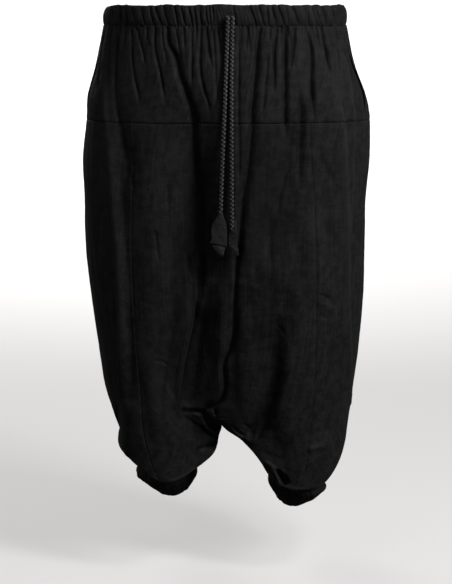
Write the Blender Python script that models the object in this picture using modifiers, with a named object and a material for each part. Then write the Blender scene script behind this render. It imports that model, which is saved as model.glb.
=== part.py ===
"""Low-crotch harem pants, worn and hollow: waist casing, yoke, centre and side panels, cuffs, drawstring.

Every piece of cloth is an open surface lofted through the sections below and thickened to a wall.
x runs to the wearer's left, y to the back and z up. The origin is the middle of the waist casing.
"""
from collections import namedtuple

import bmesh
import bpy
import numpy as np
from mathutils import Vector

# Cloth, in metres
CLOTH = 0.0016          # wall of a single panel
CASING_CLOTH = 0.0030   # folded casing round the elastic
SEAM_GAP = 0.0004       # air between two sewn pieces
TURN_GAP = 0.0009       # the same where the leg turns under
RING_SAMPLES = 241      # points that measure one half section
RING_POWER = 0.87       # below 1 squares the waist oval a little
TEARDROP = 0.60         # how far a leg section tapers to its inseam
TEARDROP_POWER = 1.3
LEG_CENTRE_Y = 0.010    # the inseam runs this far behind the waist centre

# Waist casing
CASING_BOTTOM = -0.0162
CASING_TOP = 0.0175
CASING_RUFFLE = 0.0016
CASING_COLUMNS = 24     # each crest and each hollow of the gathers is one column of a quarter
CASING_GAP = 0.0006     # air at the side seams of the casing
CASING_FLAT = 3         # the gathers fade over this many columns towards a side seam
# Share of the casing's height, and how far the strip leans in there
CASING_PROFILE = [(0.00, 0.0000), (0.45, 0.0004), (0.85, 0.0012), (1.00, 0.0055)]

# Points across each panel, and the rows of each
YOKE_COLUMNS = 19       # in half a yoke
YOKE_ROWS = 6
CENTRE_COLUMNS = 10     # in half a centre panel
SIDE_COLUMNS = 12
BODY_ROWS = 14          # from the yoke seam to the crotch
CUFF_COLUMNS = 22
CUFF_ROWS = 7
SEAM_LEVELS = 0.006     # a panel starts this share of a level from the yoke seam

# Side pocket openings in the yoke
POCKET_SHARE = 0.415    # place of the opening, as a share of the half girth from centre front
POCKET_WIDTH = 0.022    # how far the opening gapes
POCKET_LEVELS = (0.45, 2.80)   # the levels where it starts and ends
FACING_LEVELS = (0.30, 2.85)
FACING_WIDTH = 0.060    # width of the facing behind it
FACING_LAP = 0.020      # how far the facing reaches forward of the opening
FACING_INSET = 0.0034   # the facing lies this far inside the yoke
FACING_COLUMNS = 6

# Drawstring
CORD_DIAMETER = 0.0075
CORD_SPACING = 2.5      # length of a cord segment, in diameters
TIP_THICKNESS = 0.0030

# Sections of the body, from the casing down to the crotch. fold is the x of the centre recess,
# right and left the reach of each side, seams the reach of the front seam on each side, and
# pinch says how far the section has parted into two legs.
Trunk = namedtuple("Trunk", "z fold right left seam_right seam_left front back pinch")
TRUNK = [
    Trunk(-0.0168, 0.000, 0.2175, 0.214, 0.150, 0.140, 0.140, 0.148, 0.000),
    Trunk(-0.083, 0.000, 0.231, 0.228, 0.155, 0.142, 0.150, 0.163, 0.000),
    Trunk(-0.140, -0.015, 0.247, 0.249, 0.158, 0.144, 0.158, 0.179, 0.000),
    Trunk(-0.183, -0.030, 0.249, 0.257, 0.160, 0.146, 0.164, 0.188, 0.010),
    Trunk(-0.254, -0.042, 0.256, 0.258, 0.163, 0.150, 0.170, 0.196, 0.050),
    Trunk(-0.327, -0.046, 0.254, 0.252, 0.165, 0.156, 0.176, 0.200, 0.100),
    Trunk(-0.414, -0.046, 0.252, 0.250, 0.166, 0.158, 0.180, 0.201, 0.160),
    Trunk(-0.502, -0.046, 0.244, 0.249, 0.163, 0.158, 0.182, 0.200, 0.250),
    Trunk(-0.591, -0.044, 0.232, 0.242, 0.158, 0.157, 0.181, 0.197, 0.420),
    Trunk(-0.660, -0.034, 0.222, 0.234, 0.152, 0.154, 0.176, 0.191, 0.660),
    Trunk(-0.715, -0.018, 0.207, 0.227, 0.147, 0.149, 0.166, 0.183, 0.900),
    Trunk(-0.748, -0.008, 0.196, 0.223, 0.142, 0.146, 0.156, 0.175, 0.993),
]
YOKE_LEVEL = 3
CROTCH_LEVEL = len(TRUNK) - 1

# Sections of each leg below the crotch: heights at the inseam, front, outer side and back, then
# the reach of the same four points and of the front seam. The leg falls over its cuff, turns
# under and runs back in to it.
Leg = namedtuple("Leg", "z_in z_front z_out z_back x_in x_out seam front back")
RIGHT_LEG = [
    Leg(-0.768, -0.774, -0.760, -0.776, 0.013, 0.198, 0.136, 0.146, 0.166),
    Leg(-0.785, -0.800, -0.776, -0.803, 0.016, 0.199, 0.130, 0.132, 0.152),
    Leg(-0.799, -0.820, -0.788, -0.825, 0.022, 0.194, 0.122, 0.112, 0.134),
    Leg(-0.805, -0.831, -0.795, -0.835, 0.034, 0.182, 0.116, 0.094, 0.117),
    Leg(-0.801, -0.827, -0.793, -0.831, 0.046, 0.170, 0.112, 0.078, 0.101),
    Leg(-0.797, -0.814, -0.791, -0.817, 0.054, 0.158, 0.108, 0.064, 0.088),
    Leg(-0.795, -0.806, -0.790, -0.808, 0.060, 0.148, 0.106, 0.052, 0.074),
]
LEFT_LEG = [
    Leg(-0.769, -0.772, -0.772, -0.776, 0.020, 0.220, 0.144, 0.147, 0.168),
    Leg(-0.792, -0.802, -0.802, -0.806, 0.044, 0.212, 0.140, 0.137, 0.158),
    Leg(-0.813, -0.828, -0.829, -0.834, 0.062, 0.199, 0.135, 0.119, 0.140),
    Leg(-0.830, -0.844, -0.848, -0.852, 0.074, 0.184, 0.130, 0.098, 0.120),
    Leg(-0.828, -0.841, -0.845, -0.849, 0.083, 0.174, 0.128, 0.083, 0.106),
    Leg(-0.824, -0.832, -0.836, -0.839, 0.086, 0.165, 0.126, 0.067, 0.089),
    Leg(-0.822, -0.826, -0.829, -0.831, 0.088, 0.158, 0.125, 0.053, 0.074),
]
LEGS = {-1: RIGHT_LEG, 1: LEFT_LEG}
LEG_PEAKS = {-1: 4.0, 1: 2.0}       # a higher power draws the lowest edge to a point in front
TURN_LEVEL = CROTCH_LEVEL + 4
LAST_LEVEL = CROTCH_LEVEL + len(RIGHT_LEG)

# Sections of each cuff, from inside the leg down to the hem round the ankle
CUFF_SEAT = 0.0020    # the cuff stands this far inside the last leg section
RIGHT_CUFF = [
    Leg(-0.786, -0.797, -0.783, -0.799, 0.060, 0.148, 0.106, 0.052, 0.074),
    Leg(-0.803, -0.815, -0.800, -0.817, 0.060, 0.148, 0.106, 0.052, 0.074),
    Leg(-0.822, -0.836, -0.822, -0.840, 0.055, 0.162, 0.106, 0.057, 0.080),
    Leg(-0.837, -0.850, -0.837, -0.854, 0.053, 0.168, 0.106, 0.056, 0.080),
    Leg(-0.852, -0.862, -0.849, -0.866, 0.060, 0.150, 0.106, 0.046, 0.070),
    Leg(-0.862, -0.872, -0.864, -0.876, 0.066, 0.134, 0.106, 0.034, 0.056),
]
LEFT_CUFF = [
    Leg(-0.813, -0.817, -0.820, -0.822, 0.088, 0.158, 0.125, 0.053, 0.074),
    Leg(-0.829, -0.834, -0.837, -0.839, 0.088, 0.158, 0.125, 0.053, 0.074),
    Leg(-0.843, -0.857, -0.855, -0.861, 0.080, 0.178, 0.125, 0.060, 0.082),
    Leg(-0.857, -0.870, -0.865, -0.874, 0.080, 0.186, 0.125, 0.058, 0.080),
    Leg(-0.871, -0.883, -0.877, -0.886, 0.088, 0.171, 0.125, 0.047, 0.068),
    Leg(-0.880, -0.891, -0.884, -0.893, 0.092, 0.156, 0.125, 0.036, 0.056),
]
CUFFS = {-1: RIGHT_CUFF, 1: LEFT_CUFF}

# Largest folds: a soft line from top to bottom on the front or the back of one half, its half
# width across and its depth. A negative depth is a ridge.
Fold = namedtuple("Fold", "side face x_top z_top x_low z_low width depth")
FOLDS = [
    Fold(-1, "front", 0.095, -0.045, 0.050, -0.250, 0.013, 0.007),
    Fold(-1, "front", 0.172, -0.030, 0.186, -0.200, 0.012, 0.004),
    Fold(-1, "front", 0.124, -0.030, 0.108, -0.140, 0.011, 0.003),
    Fold(-1, "front", 0.047, -0.230, 0.046, -0.460, 0.024, 0.012),
    Fold(-1, "front", 0.050, -0.440, 0.086, -0.690, 0.014, 0.010),
    Fold(-1, "front", 0.040, -0.510, 0.042, -0.700, 0.024, -0.018),
    Fold(-1, "front", 0.150, -0.250, 0.135, -0.560, 0.040, -0.006),
    Fold(1, "front", 0.053, -0.040, 0.034, -0.300, 0.012, 0.007),
    Fold(1, "front", 0.034, -0.280, 0.014, -0.600, 0.014, 0.008),
    Fold(1, "front", 0.099, -0.030, 0.099, -0.200, 0.011, 0.005),
    Fold(1, "front", 0.140, -0.040, 0.134, -0.300, 0.013, 0.005),
    Fold(1, "front", 0.100, -0.520, 0.082, -0.740, 0.020, 0.010),
    Fold(1, "front", 0.075, -0.300, 0.060, -0.620, 0.026, -0.007),
    Fold(-1, "back", 0.070, -0.030, 0.060, -0.260, 0.014, 0.006),
    Fold(-1, "back", 0.140, -0.030, 0.150, -0.230, 0.013, 0.005),
    Fold(-1, "back", 0.110, -0.330, 0.095, -0.700, 0.024, 0.009),
    Fold(1, "back", 0.040, -0.030, 0.050, -0.220, 0.013, 0.005),
    Fold(1, "back", 0.120, -0.030, 0.110, -0.280, 0.014, 0.006),
    Fold(1, "back", 0.125, -0.400, 0.105, -0.720, 0.024, 0.008),
]

# Routes of the two drawstring ends, from the slit in the casing down the front of the cloth
CORD_ROUTES = {
    "cord_right": [(0.0034, -0.1458, -0.0010), (0.0033, -0.1478, -0.0042), (0.0031, -0.1489, -0.0100),
                   (0.0024, -0.1497, -0.0300), (0.0010, -0.1538, -0.0700), (-0.0005, -0.1594, -0.1100),
                   (-0.0020, -0.1647, -0.1500), (-0.0040, -0.1678, -0.1950), (-0.0062, -0.1685, -0.2500),
                   (-0.0082, -0.1685, -0.3000), (-0.0092, -0.1685, -0.3360)],
    "cord_left": [(0.0116, -0.1458, -0.0010), (0.0115, -0.1478, -0.0042), (0.0113, -0.1489, -0.0100),
                  (0.0106, -0.1497, -0.0300), (0.0096, -0.1538, -0.0700), (0.0092, -0.1594, -0.1100),
                  (0.0092, -0.1647, -0.1500), (0.0093, -0.1678, -0.1950), (0.0095, -0.1685, -0.2500),
                  (0.0098, -0.1685, -0.3100), (0.0102, -0.1685, -0.3660)],
}

# Outlines of the folded cloth tips, as (x, z) from the end of the cord
TIP_OUTLINES = {
    "tip_right": [(-0.003, -0.0005), (0.005, -0.0005), (0.010, -0.018), (0.0095, -0.047), (0.002, -0.069),
                  (-0.013, -0.048), (-0.017, -0.042), (-0.013, -0.018)],
    "tip_left": [(-0.0035, -0.0005), (0.0040, -0.0005), (0.0050, -0.018), (0.0100, -0.041), (0.0030, -0.036),
                 (-0.0045, -0.041), (-0.0075, -0.014)],
}

# Colour, roughness
FINISHES = {
    "black_cloth": ((0.012, 0.012, 0.014, 1.0), 0.75),
    "casing_cloth": ((0.014, 0.014, 0.016, 1.0), 0.78),
    "braid": ((0.20, 0.20, 0.20, 1.0), 0.60),
}


def clear_scene():
    for thing in list(bpy.data.objects):
        bpy.data.objects.remove(thing, do_unlink=True)


def make_material(name):
    colour, roughness = FINISHES[name]
    material = bpy.data.materials.new(name)
    material.use_nodes = True
    shader = material.node_tree.nodes["Principled BSDF"]
    shader.inputs["Base Color"].default_value = colour
    shader.inputs["Roughness"].default_value = roughness
    shader.inputs["Metallic"].default_value = 0.0
    return material


def spline(values, place):
    """Catmull-Rom curve through values at whole numbers, read at each place."""
    values = np.asarray(values, float)
    place = np.clip(np.asarray(place, float), 0.0, len(values) - 1.0)
    first = np.minimum(place.astype(int), len(values) - 2)
    t = place - first
    padded = np.concatenate([[2 * values[0] - values[1]], values, [2 * values[-1] - values[-2]]])
    before, start, end, after = (padded[first + k] for k in range(4))
    slope_start = (end - before) / 2
    slope_end = (after - start) / 2
    return (start * (2 * t**3 - 3 * t**2 + 1) + slope_start * (t**3 - 2 * t**2 + t)
            + end * (3 * t**2 - 2 * t**3) + slope_end * (t**3 - t**2))


def smooth_step(value):
    value = np.clip(value, 0.0, 1.0)
    return value * value * (3 - 2 * value)


def section_columns(side):
    """All sections of one half in one table: trunk rows first, then the leg's."""
    leg = LEGS[side]
    reach = "right" if side < 0 else "left"
    trunk_z = [row.z for row in TRUNK]
    columns = {name: trunk_z + [getattr(row, name) for row in leg]
               for name in ("z_in", "z_front", "z_out", "z_back")}
    columns["x_in"] = [side * row.fold for row in TRUNK] + [row.x_in for row in leg]
    columns["x_out"] = [getattr(row, reach) for row in TRUNK] + [row.x_out for row in leg]
    columns["seam"] = [getattr(row, "seam_" + reach) for row in TRUNK] + [row.seam for row in leg]
    columns["front"] = [row.front for row in TRUNK] + [row.front for row in leg]
    columns["back"] = [row.back for row in TRUNK] + [row.back for row in leg]
    columns["pinch"] = [row.pinch for row in TRUNK] + [1.0] * len(leg)
    return columns


COLUMNS = {side: section_columns(side) for side in (-1, 1)}


def section_at(side, level):
    """The section values of one half at a level, with the two halves joined above the crotch."""
    own = {name: float(spline(values, level)) for name, values in COLUMNS[side].items()}
    if level <= CROTCH_LEVEL:
        other = {name: float(spline(values, level)) for name, values in COLUMNS[-side].items()}
        own["x_in"] = (own["x_in"] - other["x_in"]) / 2
        for name in ("z_in", "front", "back"):
            own[name] = (own[name] + other[name]) / 2
    own["pinch"] = min(max(own["pinch"], 0.0), 1.0)
    return own


def oval(row, pinch, taper, side, peak=2.0):
    """Points of a half section, from the centre front round the side to the centre back."""
    turn = np.linspace(0.0, 1.0, RING_SAMPLES)
    half_turn = np.pi * turn
    across = np.sin(half_turn) ** RING_POWER
    along = np.sign(np.cos(half_turn)) * np.abs(np.cos(half_turn)) ** RING_POWER
    reach = np.where(along > 0, row["front"], row["back"])
    trunk_x = row["x_in"] + (row["x_out"] - row["x_in"]) * across
    trunk_y = -reach * along

    full_turn = 2 * np.pi * turn
    cosine, sine = np.cos(full_turn), np.sin(full_turn)
    middle = (row["x_in"] + row["x_out"]) / 2
    radius = (row["x_out"] - row["x_in"]) / 2
    pointed = 1 - np.abs(sine) ** TEARDROP_POWER
    inner = (1 - taper) * cosine + taper * pointed
    leg_x = middle - radius * np.where(cosine > 0, inner, cosine)
    front_reach = row["front"] + LEG_CENTRE_Y
    back_reach = row["back"] - LEG_CENTRE_Y
    leg_y = LEG_CENTRE_Y - np.where(sine > 0, front_reach, back_reach) * sine

    middling = np.abs(sine) ** peak
    height = (np.where(cosine > 0, row["z_in"], row["z_out"]) * (1 - middling)
              + np.where(sine > 0, row["z_front"], row["z_back"]) * middling)
    points = np.empty((RING_SAMPLES, 3))
    points[:, 0] = side * ((1 - pinch) * trunk_x + pinch * leg_x)
    points[:, 1] = (1 - pinch) * trunk_y + pinch * leg_y
    points[:, 2] = height
    return points


def half_section(side, level):
    """A half section with the girth measured along it: (points, share of the girth, girth)."""
    row = section_at(side, level)
    taper = TEARDROP * float(1 - smooth_step((level - CROTCH_LEVEL - 1) / 3))
    points = oval(row, row["pinch"], taper, side, LEG_PEAKS[side])
    steps = np.linalg.norm(np.diff(points, axis=0), axis=1)
    run = np.concatenate([[0.0], np.cumsum(steps)])
    return points, run / run[-1], run[-1], row


def share_at_x(side, level, reach, face):
    """Share of the half girth where the front or back of the section has this reach."""
    points, share, _, _ = half_section(side, level)
    outward = side * points[:, 0]
    half = RING_SAMPLES // 2
    if face == "front":
        return float(np.interp(reach, outward[:half + 1], share[:half + 1]))
    return float(np.interp(-reach, -outward[half:], share[half:]))


def bare_surface(side, shares, levels):
    """Points of the smooth half body at every level and share: (levels, shares, 3)."""
    grid = np.empty((len(levels), len(shares[0]), 3))
    for i, level in enumerate(levels):
        points, share, _, _ = half_section(side, level)
        for axis in range(3):
            grid[i, :, axis] = np.interp(shares[i], share, points[:, axis])
    return grid


def outward_normals(side, shares, levels):
    step = 0.004
    shares = np.asarray(shares)
    levels = np.asarray(levels, float)
    low = np.clip(shares - step, 0.0, 1.0)
    high = np.clip(shares + step, 0.0, 1.0)
    along = bare_surface(side, high, levels) - bare_surface(side, low, levels)
    above = np.clip(levels - 0.05, 0.0, LAST_LEVEL)
    below = np.clip(levels + 0.05, 0.0, LAST_LEVEL)
    down = bare_surface(side, shares, below) - bare_surface(side, shares, above)
    normals = np.cross(down, along) * side
    return normals / np.maximum(np.linalg.norm(normals, axis=2, keepdims=True), 1e-9)


def fold_depth(side, shares, levels):
    """How far the folds of this half move the cloth inwards."""
    depth = np.zeros(np.asarray(shares).shape)
    for i, level in enumerate(levels):
        if level > TURN_LEVEL:
            continue
        _, _, girth, row = half_section(side, level)
        z = row["z_front"]
        for fold in FOLDS:
            if fold.side != side:
                continue
            run = (fold.z_top - z) / (fold.z_top - fold.z_low)
            if not 0 < run < 1:
                continue
            reach = fold.x_top + (fold.x_low - fold.x_top) * run
            centre = share_at_x(side, level, reach, fold.face)
            away = (np.asarray(shares[i]) - centre) * girth / fold.width
            ends = smooth_step(run / 0.2) * smooth_step((1 - run) / 0.3)
            depth[i] += fold.depth * ends * np.exp(-away**2)
    return depth


def cloth_surface(side, shares, levels, inset=0.0):
    """The half body with its folds."""
    points = bare_surface(side, shares, levels)
    moved = fold_depth(side, shares, levels) + inset
    return points - outward_normals(side, shares, levels) * moved[:, :, None]


def new_object(name, mesh_builder, material, collection):
    mesh = bpy.data.meshes.new(name)
    mesh_builder.to_mesh(mesh)
    mesh_builder.free()
    thing = bpy.data.objects.new(name, mesh)
    collection.objects.link(thing)
    mesh.materials.append(material)
    mesh.shade_smooth()
    mesh.set_sharp_from_angle(angle=np.radians(60))
    return thing


def thicken(thing, wall):
    solid = thing.modifiers.new("Wall", "SOLIDIFY")
    solid.thickness = wall
    solid.offset = 0.0
    solid.use_even_offset = False
    solid.use_rim = True
    return thing


def add_grid(builder, grid, flip, closed=False):
    """Verts and quads of a grid of points; closed joins its last column to its first."""
    rows, columns = grid.shape[:2]
    verts = [[builder.verts.new(Vector(grid[i, j])) for j in range(columns)] for i in range(rows)]
    for i in range(rows - 1):
        for j in range(columns if closed else columns - 1):
            k = (j + 1) % columns
            corners = [verts[i][j], verts[i + 1][j], verts[i + 1][k], verts[i][k]]
            builder.faces.new(corners[::-1] if flip else corners)
    return verts


def panel(name, grid, flip, material, collection, wall=CLOTH, closed=False):
    builder = bmesh.new()
    add_grid(builder, grid, flip, closed)
    return thicken(new_object(name, builder, material, collection), wall)


def seam_share(side, level, face):
    row = section_at(side, level)
    return share_at_x(side, level, row["seam"], face)


def gap_share(side, level):
    """Half a seam's air as a share of the girth; walls lean together where the leg turns under."""
    air = SEAM_GAP + (TURN_GAP - SEAM_GAP) * float(smooth_step(level - CROTCH_LEVEL - 1))
    return air / 2 / half_section(side, level)[2]


def join_halves(right, left, face):
    """One grid across both halves, from the wearer's right edge over the centre to the left."""
    if face == "front":
        return np.concatenate([right[:, :0:-1], left], axis=1)
    return np.concatenate([right[:, :-1], left[:, ::-1]], axis=1)


def build_casing(material, collection):
    """Two ruffled strips round the waist, one in front and one behind, flat where they are sewn."""
    columns = CASING_COLUMNS
    heights = np.array([CASING_BOTTOM + (CASING_TOP - CASING_BOTTOM) * share for share, _ in CASING_PROFILE])
    insets = np.array([inset for _, inset in CASING_PROFILE])
    levels = np.zeros(len(CASING_PROFILE))
    for face, start, end in (("front", 0.0, POCKET_SHARE), ("back", POCKET_SHARE, 1.0)):
        seam_column = columns - 1 if face == "front" else 0
        quiet = smooth_step(np.abs(np.arange(columns) - seam_column) / CASING_FLAT)
        ruffle = CASING_RUFFLE * quiet * np.cos(np.pi * np.arange(columns))
        halves = []
        for side in (-1, 1):
            gap = CASING_GAP / 2 / half_section(side, 0)[2]
            first = start + (gap if start > 0 else 0.0)
            last = end - (gap if end < 1 else 0.0)
            shares = [np.linspace(first, last, columns)] * len(levels)
            points = bare_surface(side, shares, levels)
            normals = outward_normals(side, shares, levels)
            points -= normals * (insets[:, None] - ruffle[None, :])[:, :, None]
            points[:, :, 2] = heights[:, None]
            halves.append(points)
        grid = join_halves(*halves, face)
        panel("waistband_" + face, grid, face == "front", material, collection, CASING_CLOTH)


def pocket_gape(side, level):
    """Width of the pocket opening at a level of the yoke."""
    first, last = POCKET_LEVELS
    run = (level - first) / (last - first)
    if not 0 < run < 1:
        return 0.0
    return POCKET_WIDTH * float(np.sin(np.pi * run)) ** 2


def yoke_shares(face, side, level):
    """Shares across half a yoke. The back one starts behind the pocket opening."""
    gap = gap_share(side, level)
    if face == "front":
        return np.linspace(0.0, POCKET_SHARE - gap, YOKE_COLUMNS)
    gape = pocket_gape(side, level) / half_section(side, level)[2]
    return np.linspace(POCKET_SHARE + gap + gape, 1.0, YOKE_COLUMNS)


def build_yoke(face, material, collection):
    levels = np.linspace(0.0, YOKE_LEVEL - SEAM_LEVELS, YOKE_ROWS)
    halves = [cloth_surface(side, [yoke_shares(face, side, level) for level in levels], levels)
              for side in (-1, 1)]
    panel("yoke_" + face, join_halves(*halves, face), face == "front", material, collection)


def build_pockets(material, collection):
    """The facing that shows behind each pocket opening."""
    levels = np.linspace(*FACING_LEVELS, YOKE_ROWS)
    for name, side in (("pocket_right", -1), ("pocket_left", 1)):
        shares = []
        for level in levels:
            girth = half_section(side, level)[2]
            first = POCKET_SHARE - FACING_LAP / girth
            shares.append(np.linspace(first, first + FACING_WIDTH / girth, FACING_COLUMNS))
        grid = cloth_surface(side, shares, levels, FACING_INSET)
        panel(name, grid, side > 0, material, collection)


def lower_levels():
    """Levels of the rows below the yoke: finer where the legs part and where they turn under."""
    body = np.linspace(YOKE_LEVEL + SEAM_LEVELS, CROTCH_LEVEL, BODY_ROWS)
    legs = np.arange(CROTCH_LEVEL + 1, LAST_LEVEL + 1)
    return np.concatenate([body, legs])


def build_centre(name, face, material, collection):
    """A wide panel over the centre; below the crotch it runs down the inner half of each leg."""
    levels = lower_levels()
    columns = CENTRE_COLUMNS
    builder = bmesh.new()
    halves = {}
    for side in (-1, 1):
        shares = []
        for level in levels:
            gap = gap_share(side, level)
            seam = seam_share(side, level, face)
            inner_gap = gap if level > CROTCH_LEVEL else 0.0
            if face == "front":
                shares.append(np.linspace(inner_gap, seam - gap, columns))
            else:
                shares.append(np.linspace(1 - inner_gap, seam + gap, columns))
        halves[side] = cloth_surface(side, shares, levels)
    joined = levels <= CROTCH_LEVEL
    middle = (halves[-1][:, 0] + halves[1][:, 0]) / 2
    for side in (-1, 1):
        halves[side][joined, 0] = middle[joined]
        verts = add_grid(builder, halves[side], (side > 0) == (face == "front"))
        if side < 0:
            centre = [row[0] for row in verts]
    builder.verts.ensure_lookup_table()
    merge = {verts[i][0]: centre[i] for i in range(len(levels)) if joined[i]}
    bmesh.ops.weld_verts(builder, targetmap=merge)
    return thicken(new_object(name, builder, material, collection), CLOTH)


def build_side(name, side, material, collection):
    levels = lower_levels()
    shares = []
    for level in levels:
        gap = gap_share(side, level)
        shares.append(np.linspace(seam_share(side, level, "front") + gap,
                                  seam_share(side, level, "back") - gap, SIDE_COLUMNS))
    grid = cloth_surface(side, shares, levels)
    return panel(name, grid, side > 0, material, collection)


def build_cuff(name, side, material, collection):
    """A gathered tube round the ankle, its seam at the inner side."""
    rows = CUFFS[side]
    levels = np.linspace(0, len(rows) - 1, CUFF_ROWS)
    columns = CUFF_COLUMNS
    grid = np.empty((len(levels), columns, 3))
    for i, level in enumerate(levels):
        row = {field: float(spline([getattr(r, field) for r in rows], level)) for field in Leg._fields}
        seat = CUFF_SEAT * float(1 - smooth_step((level - 1) / 0.6))
        row["x_in"] += seat
        row["x_out"] -= seat
        row["front"] -= seat
        row["back"] -= seat
        points = oval(row, 1.0, 0.0, side)
        run = np.concatenate([[0.0], np.cumsum(np.linalg.norm(np.diff(points, axis=0), axis=1))])
        wanted = np.linspace(0.0, run[-1], columns, endpoint=False)
        for axis in range(3):
            grid[i, :, axis] = np.interp(wanted, run, points[:, axis])
    return panel(name, grid, side > 0, material, collection, closed=True)


def smooth_route(points, spacing):
    """Evenly spaced points on a smooth curve through the route's own points."""
    points = np.array(points)
    dense = np.linspace(0, len(points) - 1, 400)
    curve = np.stack([spline(points[:, axis], dense) for axis in range(3)], axis=1)
    run = np.concatenate([[0.0], np.cumsum(np.linalg.norm(np.diff(curve, axis=0), axis=1))])
    places = np.linspace(0, run[-1], max(3, round(run[-1] / spacing) + 1))
    return np.stack([np.interp(places, run, curve[:, axis]) for axis in range(3)], axis=1)


def build_cord(name, material, collection):
    route = smooth_route(CORD_ROUTES[name], CORD_SPACING * CORD_DIAMETER)
    curve = bpy.data.curves.new(name, "CURVE")
    curve.dimensions = "3D"
    curve.bevel_depth = CORD_DIAMETER / 2
    curve.bevel_resolution = 2
    curve.use_fill_caps = True
    line = curve.splines.new("POLY")
    line.points.add(len(route) - 1)
    for point, place in zip(line.points, route):
        point.co = (*place, 1.0)
    curve.materials.append(material)
    thing = bpy.data.objects.new(name, curve)
    collection.objects.link(thing)
    return thing


def build_tip(name, cord, material, collection):
    """A scrap of cloth folded over the end of the cord."""
    end = np.array(CORD_ROUTES[cord][-1])
    curve = bpy.data.curves.new(name, "CURVE")
    curve.dimensions = "2D"
    curve.fill_mode = "BOTH"
    curve.extrude = TIP_THICKNESS / 2
    line = curve.splines.new("POLY")
    outline = TIP_OUTLINES[name]
    line.points.add(len(outline) - 1)
    for point, (x, z) in zip(line.points, outline):
        point.co = (x, z, 0.0, 1.0)
    line.use_cyclic_u = True
    curve.materials.append(material)
    thing = bpy.data.objects.new(name, curve)
    thing.location = (end[0], end[1], end[2])
    thing.rotation_euler = (np.pi / 2, 0.0, 0.0)
    collection.objects.link(thing)
    return thing


def build():
    clear_scene()
    collection = bpy.data.collections.new("harem_pants")
    bpy.context.scene.collection.children.link(collection)
    cloth = make_material("black_cloth")
    casing = make_material("casing_cloth")
    braid = make_material("braid")

    build_casing(casing, collection)
    for face in ("front", "back"):
        build_yoke(face, cloth, collection)
    build_pockets(cloth, collection)
    build_centre("centre_front", "front", cloth, collection)
    build_centre("centre_back", "back", cloth, collection)
    for name, side in (("side_right", -1), ("side_left", 1)):
        build_side(name, side, cloth, collection)
    for name, side in (("cuff_right", -1), ("cuff_left", 1)):
        build_cuff(name, side, cloth, collection)
    for cord, tip in (("cord_right", "tip_right"), ("cord_left", "tip_left")):
        build_cord(cord, braid, collection)
        build_tip(tip, cord, cloth, collection)


build()
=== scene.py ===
import bpy
import numpy as np
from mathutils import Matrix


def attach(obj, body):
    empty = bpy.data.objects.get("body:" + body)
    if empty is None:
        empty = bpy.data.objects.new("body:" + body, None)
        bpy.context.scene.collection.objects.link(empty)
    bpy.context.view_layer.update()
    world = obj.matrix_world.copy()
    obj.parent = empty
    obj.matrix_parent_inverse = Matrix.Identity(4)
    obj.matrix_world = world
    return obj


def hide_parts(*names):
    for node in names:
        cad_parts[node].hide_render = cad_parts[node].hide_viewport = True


# Black low-crotch harem pants in their worn form. x is the wearer's left, y the back, z up, in metres.
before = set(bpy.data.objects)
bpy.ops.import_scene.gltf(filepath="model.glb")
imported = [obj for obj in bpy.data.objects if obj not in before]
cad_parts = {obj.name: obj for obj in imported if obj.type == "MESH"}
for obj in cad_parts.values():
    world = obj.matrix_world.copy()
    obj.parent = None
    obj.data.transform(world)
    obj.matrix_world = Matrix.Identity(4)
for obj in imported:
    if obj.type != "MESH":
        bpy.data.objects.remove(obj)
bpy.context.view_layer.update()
print("frame loaded:", len(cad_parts), "nodes")
bpy.ops.object.select_all(action="DESELECT")
scene = bpy.context.scene


# The plane lies just before the cloth: places that are said to be seen are measured on it
cameraSetup = {"place": (0.0, -3.3, 0.0175), "tilt": 81.11, "lens": 113.0, "sensor": 36.0, "plane": -0.155}
bpy.ops.object.camera_add(location=cameraSetup["place"], rotation=(np.radians(cameraSetup["tilt"]), 0.0, 0.0))
camera = bpy.context.object
camera.name = "camera"
camera.data.lens = cameraSetup["lens"]
camera.data.sensor_width = cameraSetup["sensor"]
scene.camera = camera
print("camera placed")


def smoothStep(value):
    value = np.clip(value, 0.0, 1.0)
    return value * value * (3 - 2 * value)


def curveThrough(values, places):
    # Catmull-Rom curve through values that stand at whole numbers
    values = np.asarray(values, float)
    places = np.clip(np.asarray(places, float), 0.0, len(values) - 1.0)
    first = np.minimum(places.astype(int), len(values) - 2)
    t = (places - first).reshape(places.shape + (1,) * (values.ndim - 1))
    padded = np.concatenate([[2 * values[0] - values[1]], values, [2 * values[-1] - values[-2]]])
    before, start, end, after = (padded[first + k] for k in range(4))
    slopeStart = (end - before) / 2
    slopeEnd = (after - start) / 2
    return (start * (2 * t**3 - 3 * t**2 + 1) + slopeStart * (t**3 - 2 * t**2 + t)
            + end * (3 * t**2 - 2 * t**3) + slopeEnd * (t**3 - t**2))


noiseTable = np.random.default_rng(11).uniform(-1, 1, (32, 32, 32))


def softNoise(place, cell, shift=0.0):
    # smooth noise between -1 and 1; cell is the size of its blobs along x, y and z
    p = np.asarray(place) / np.asarray(cell, float) + shift
    low = np.floor(p).astype(int)
    t = p - low
    t = t * t * (3 - 2 * t)
    total = 0.0
    for i in (0, 1):
        for j in (0, 1):
            for k in (0, 1):
                weight = ((t[..., 0] if i else 1 - t[..., 0]) * (t[..., 1] if j else 1 - t[..., 1])
                          * (t[..., 2] if k else 1 - t[..., 2]))
                total = total + weight * noiseTable[(low[..., 0] + i) % 32, (low[..., 1] + j) % 32,
                                                    (low[..., 2] + k) % 32]
    return total


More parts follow.
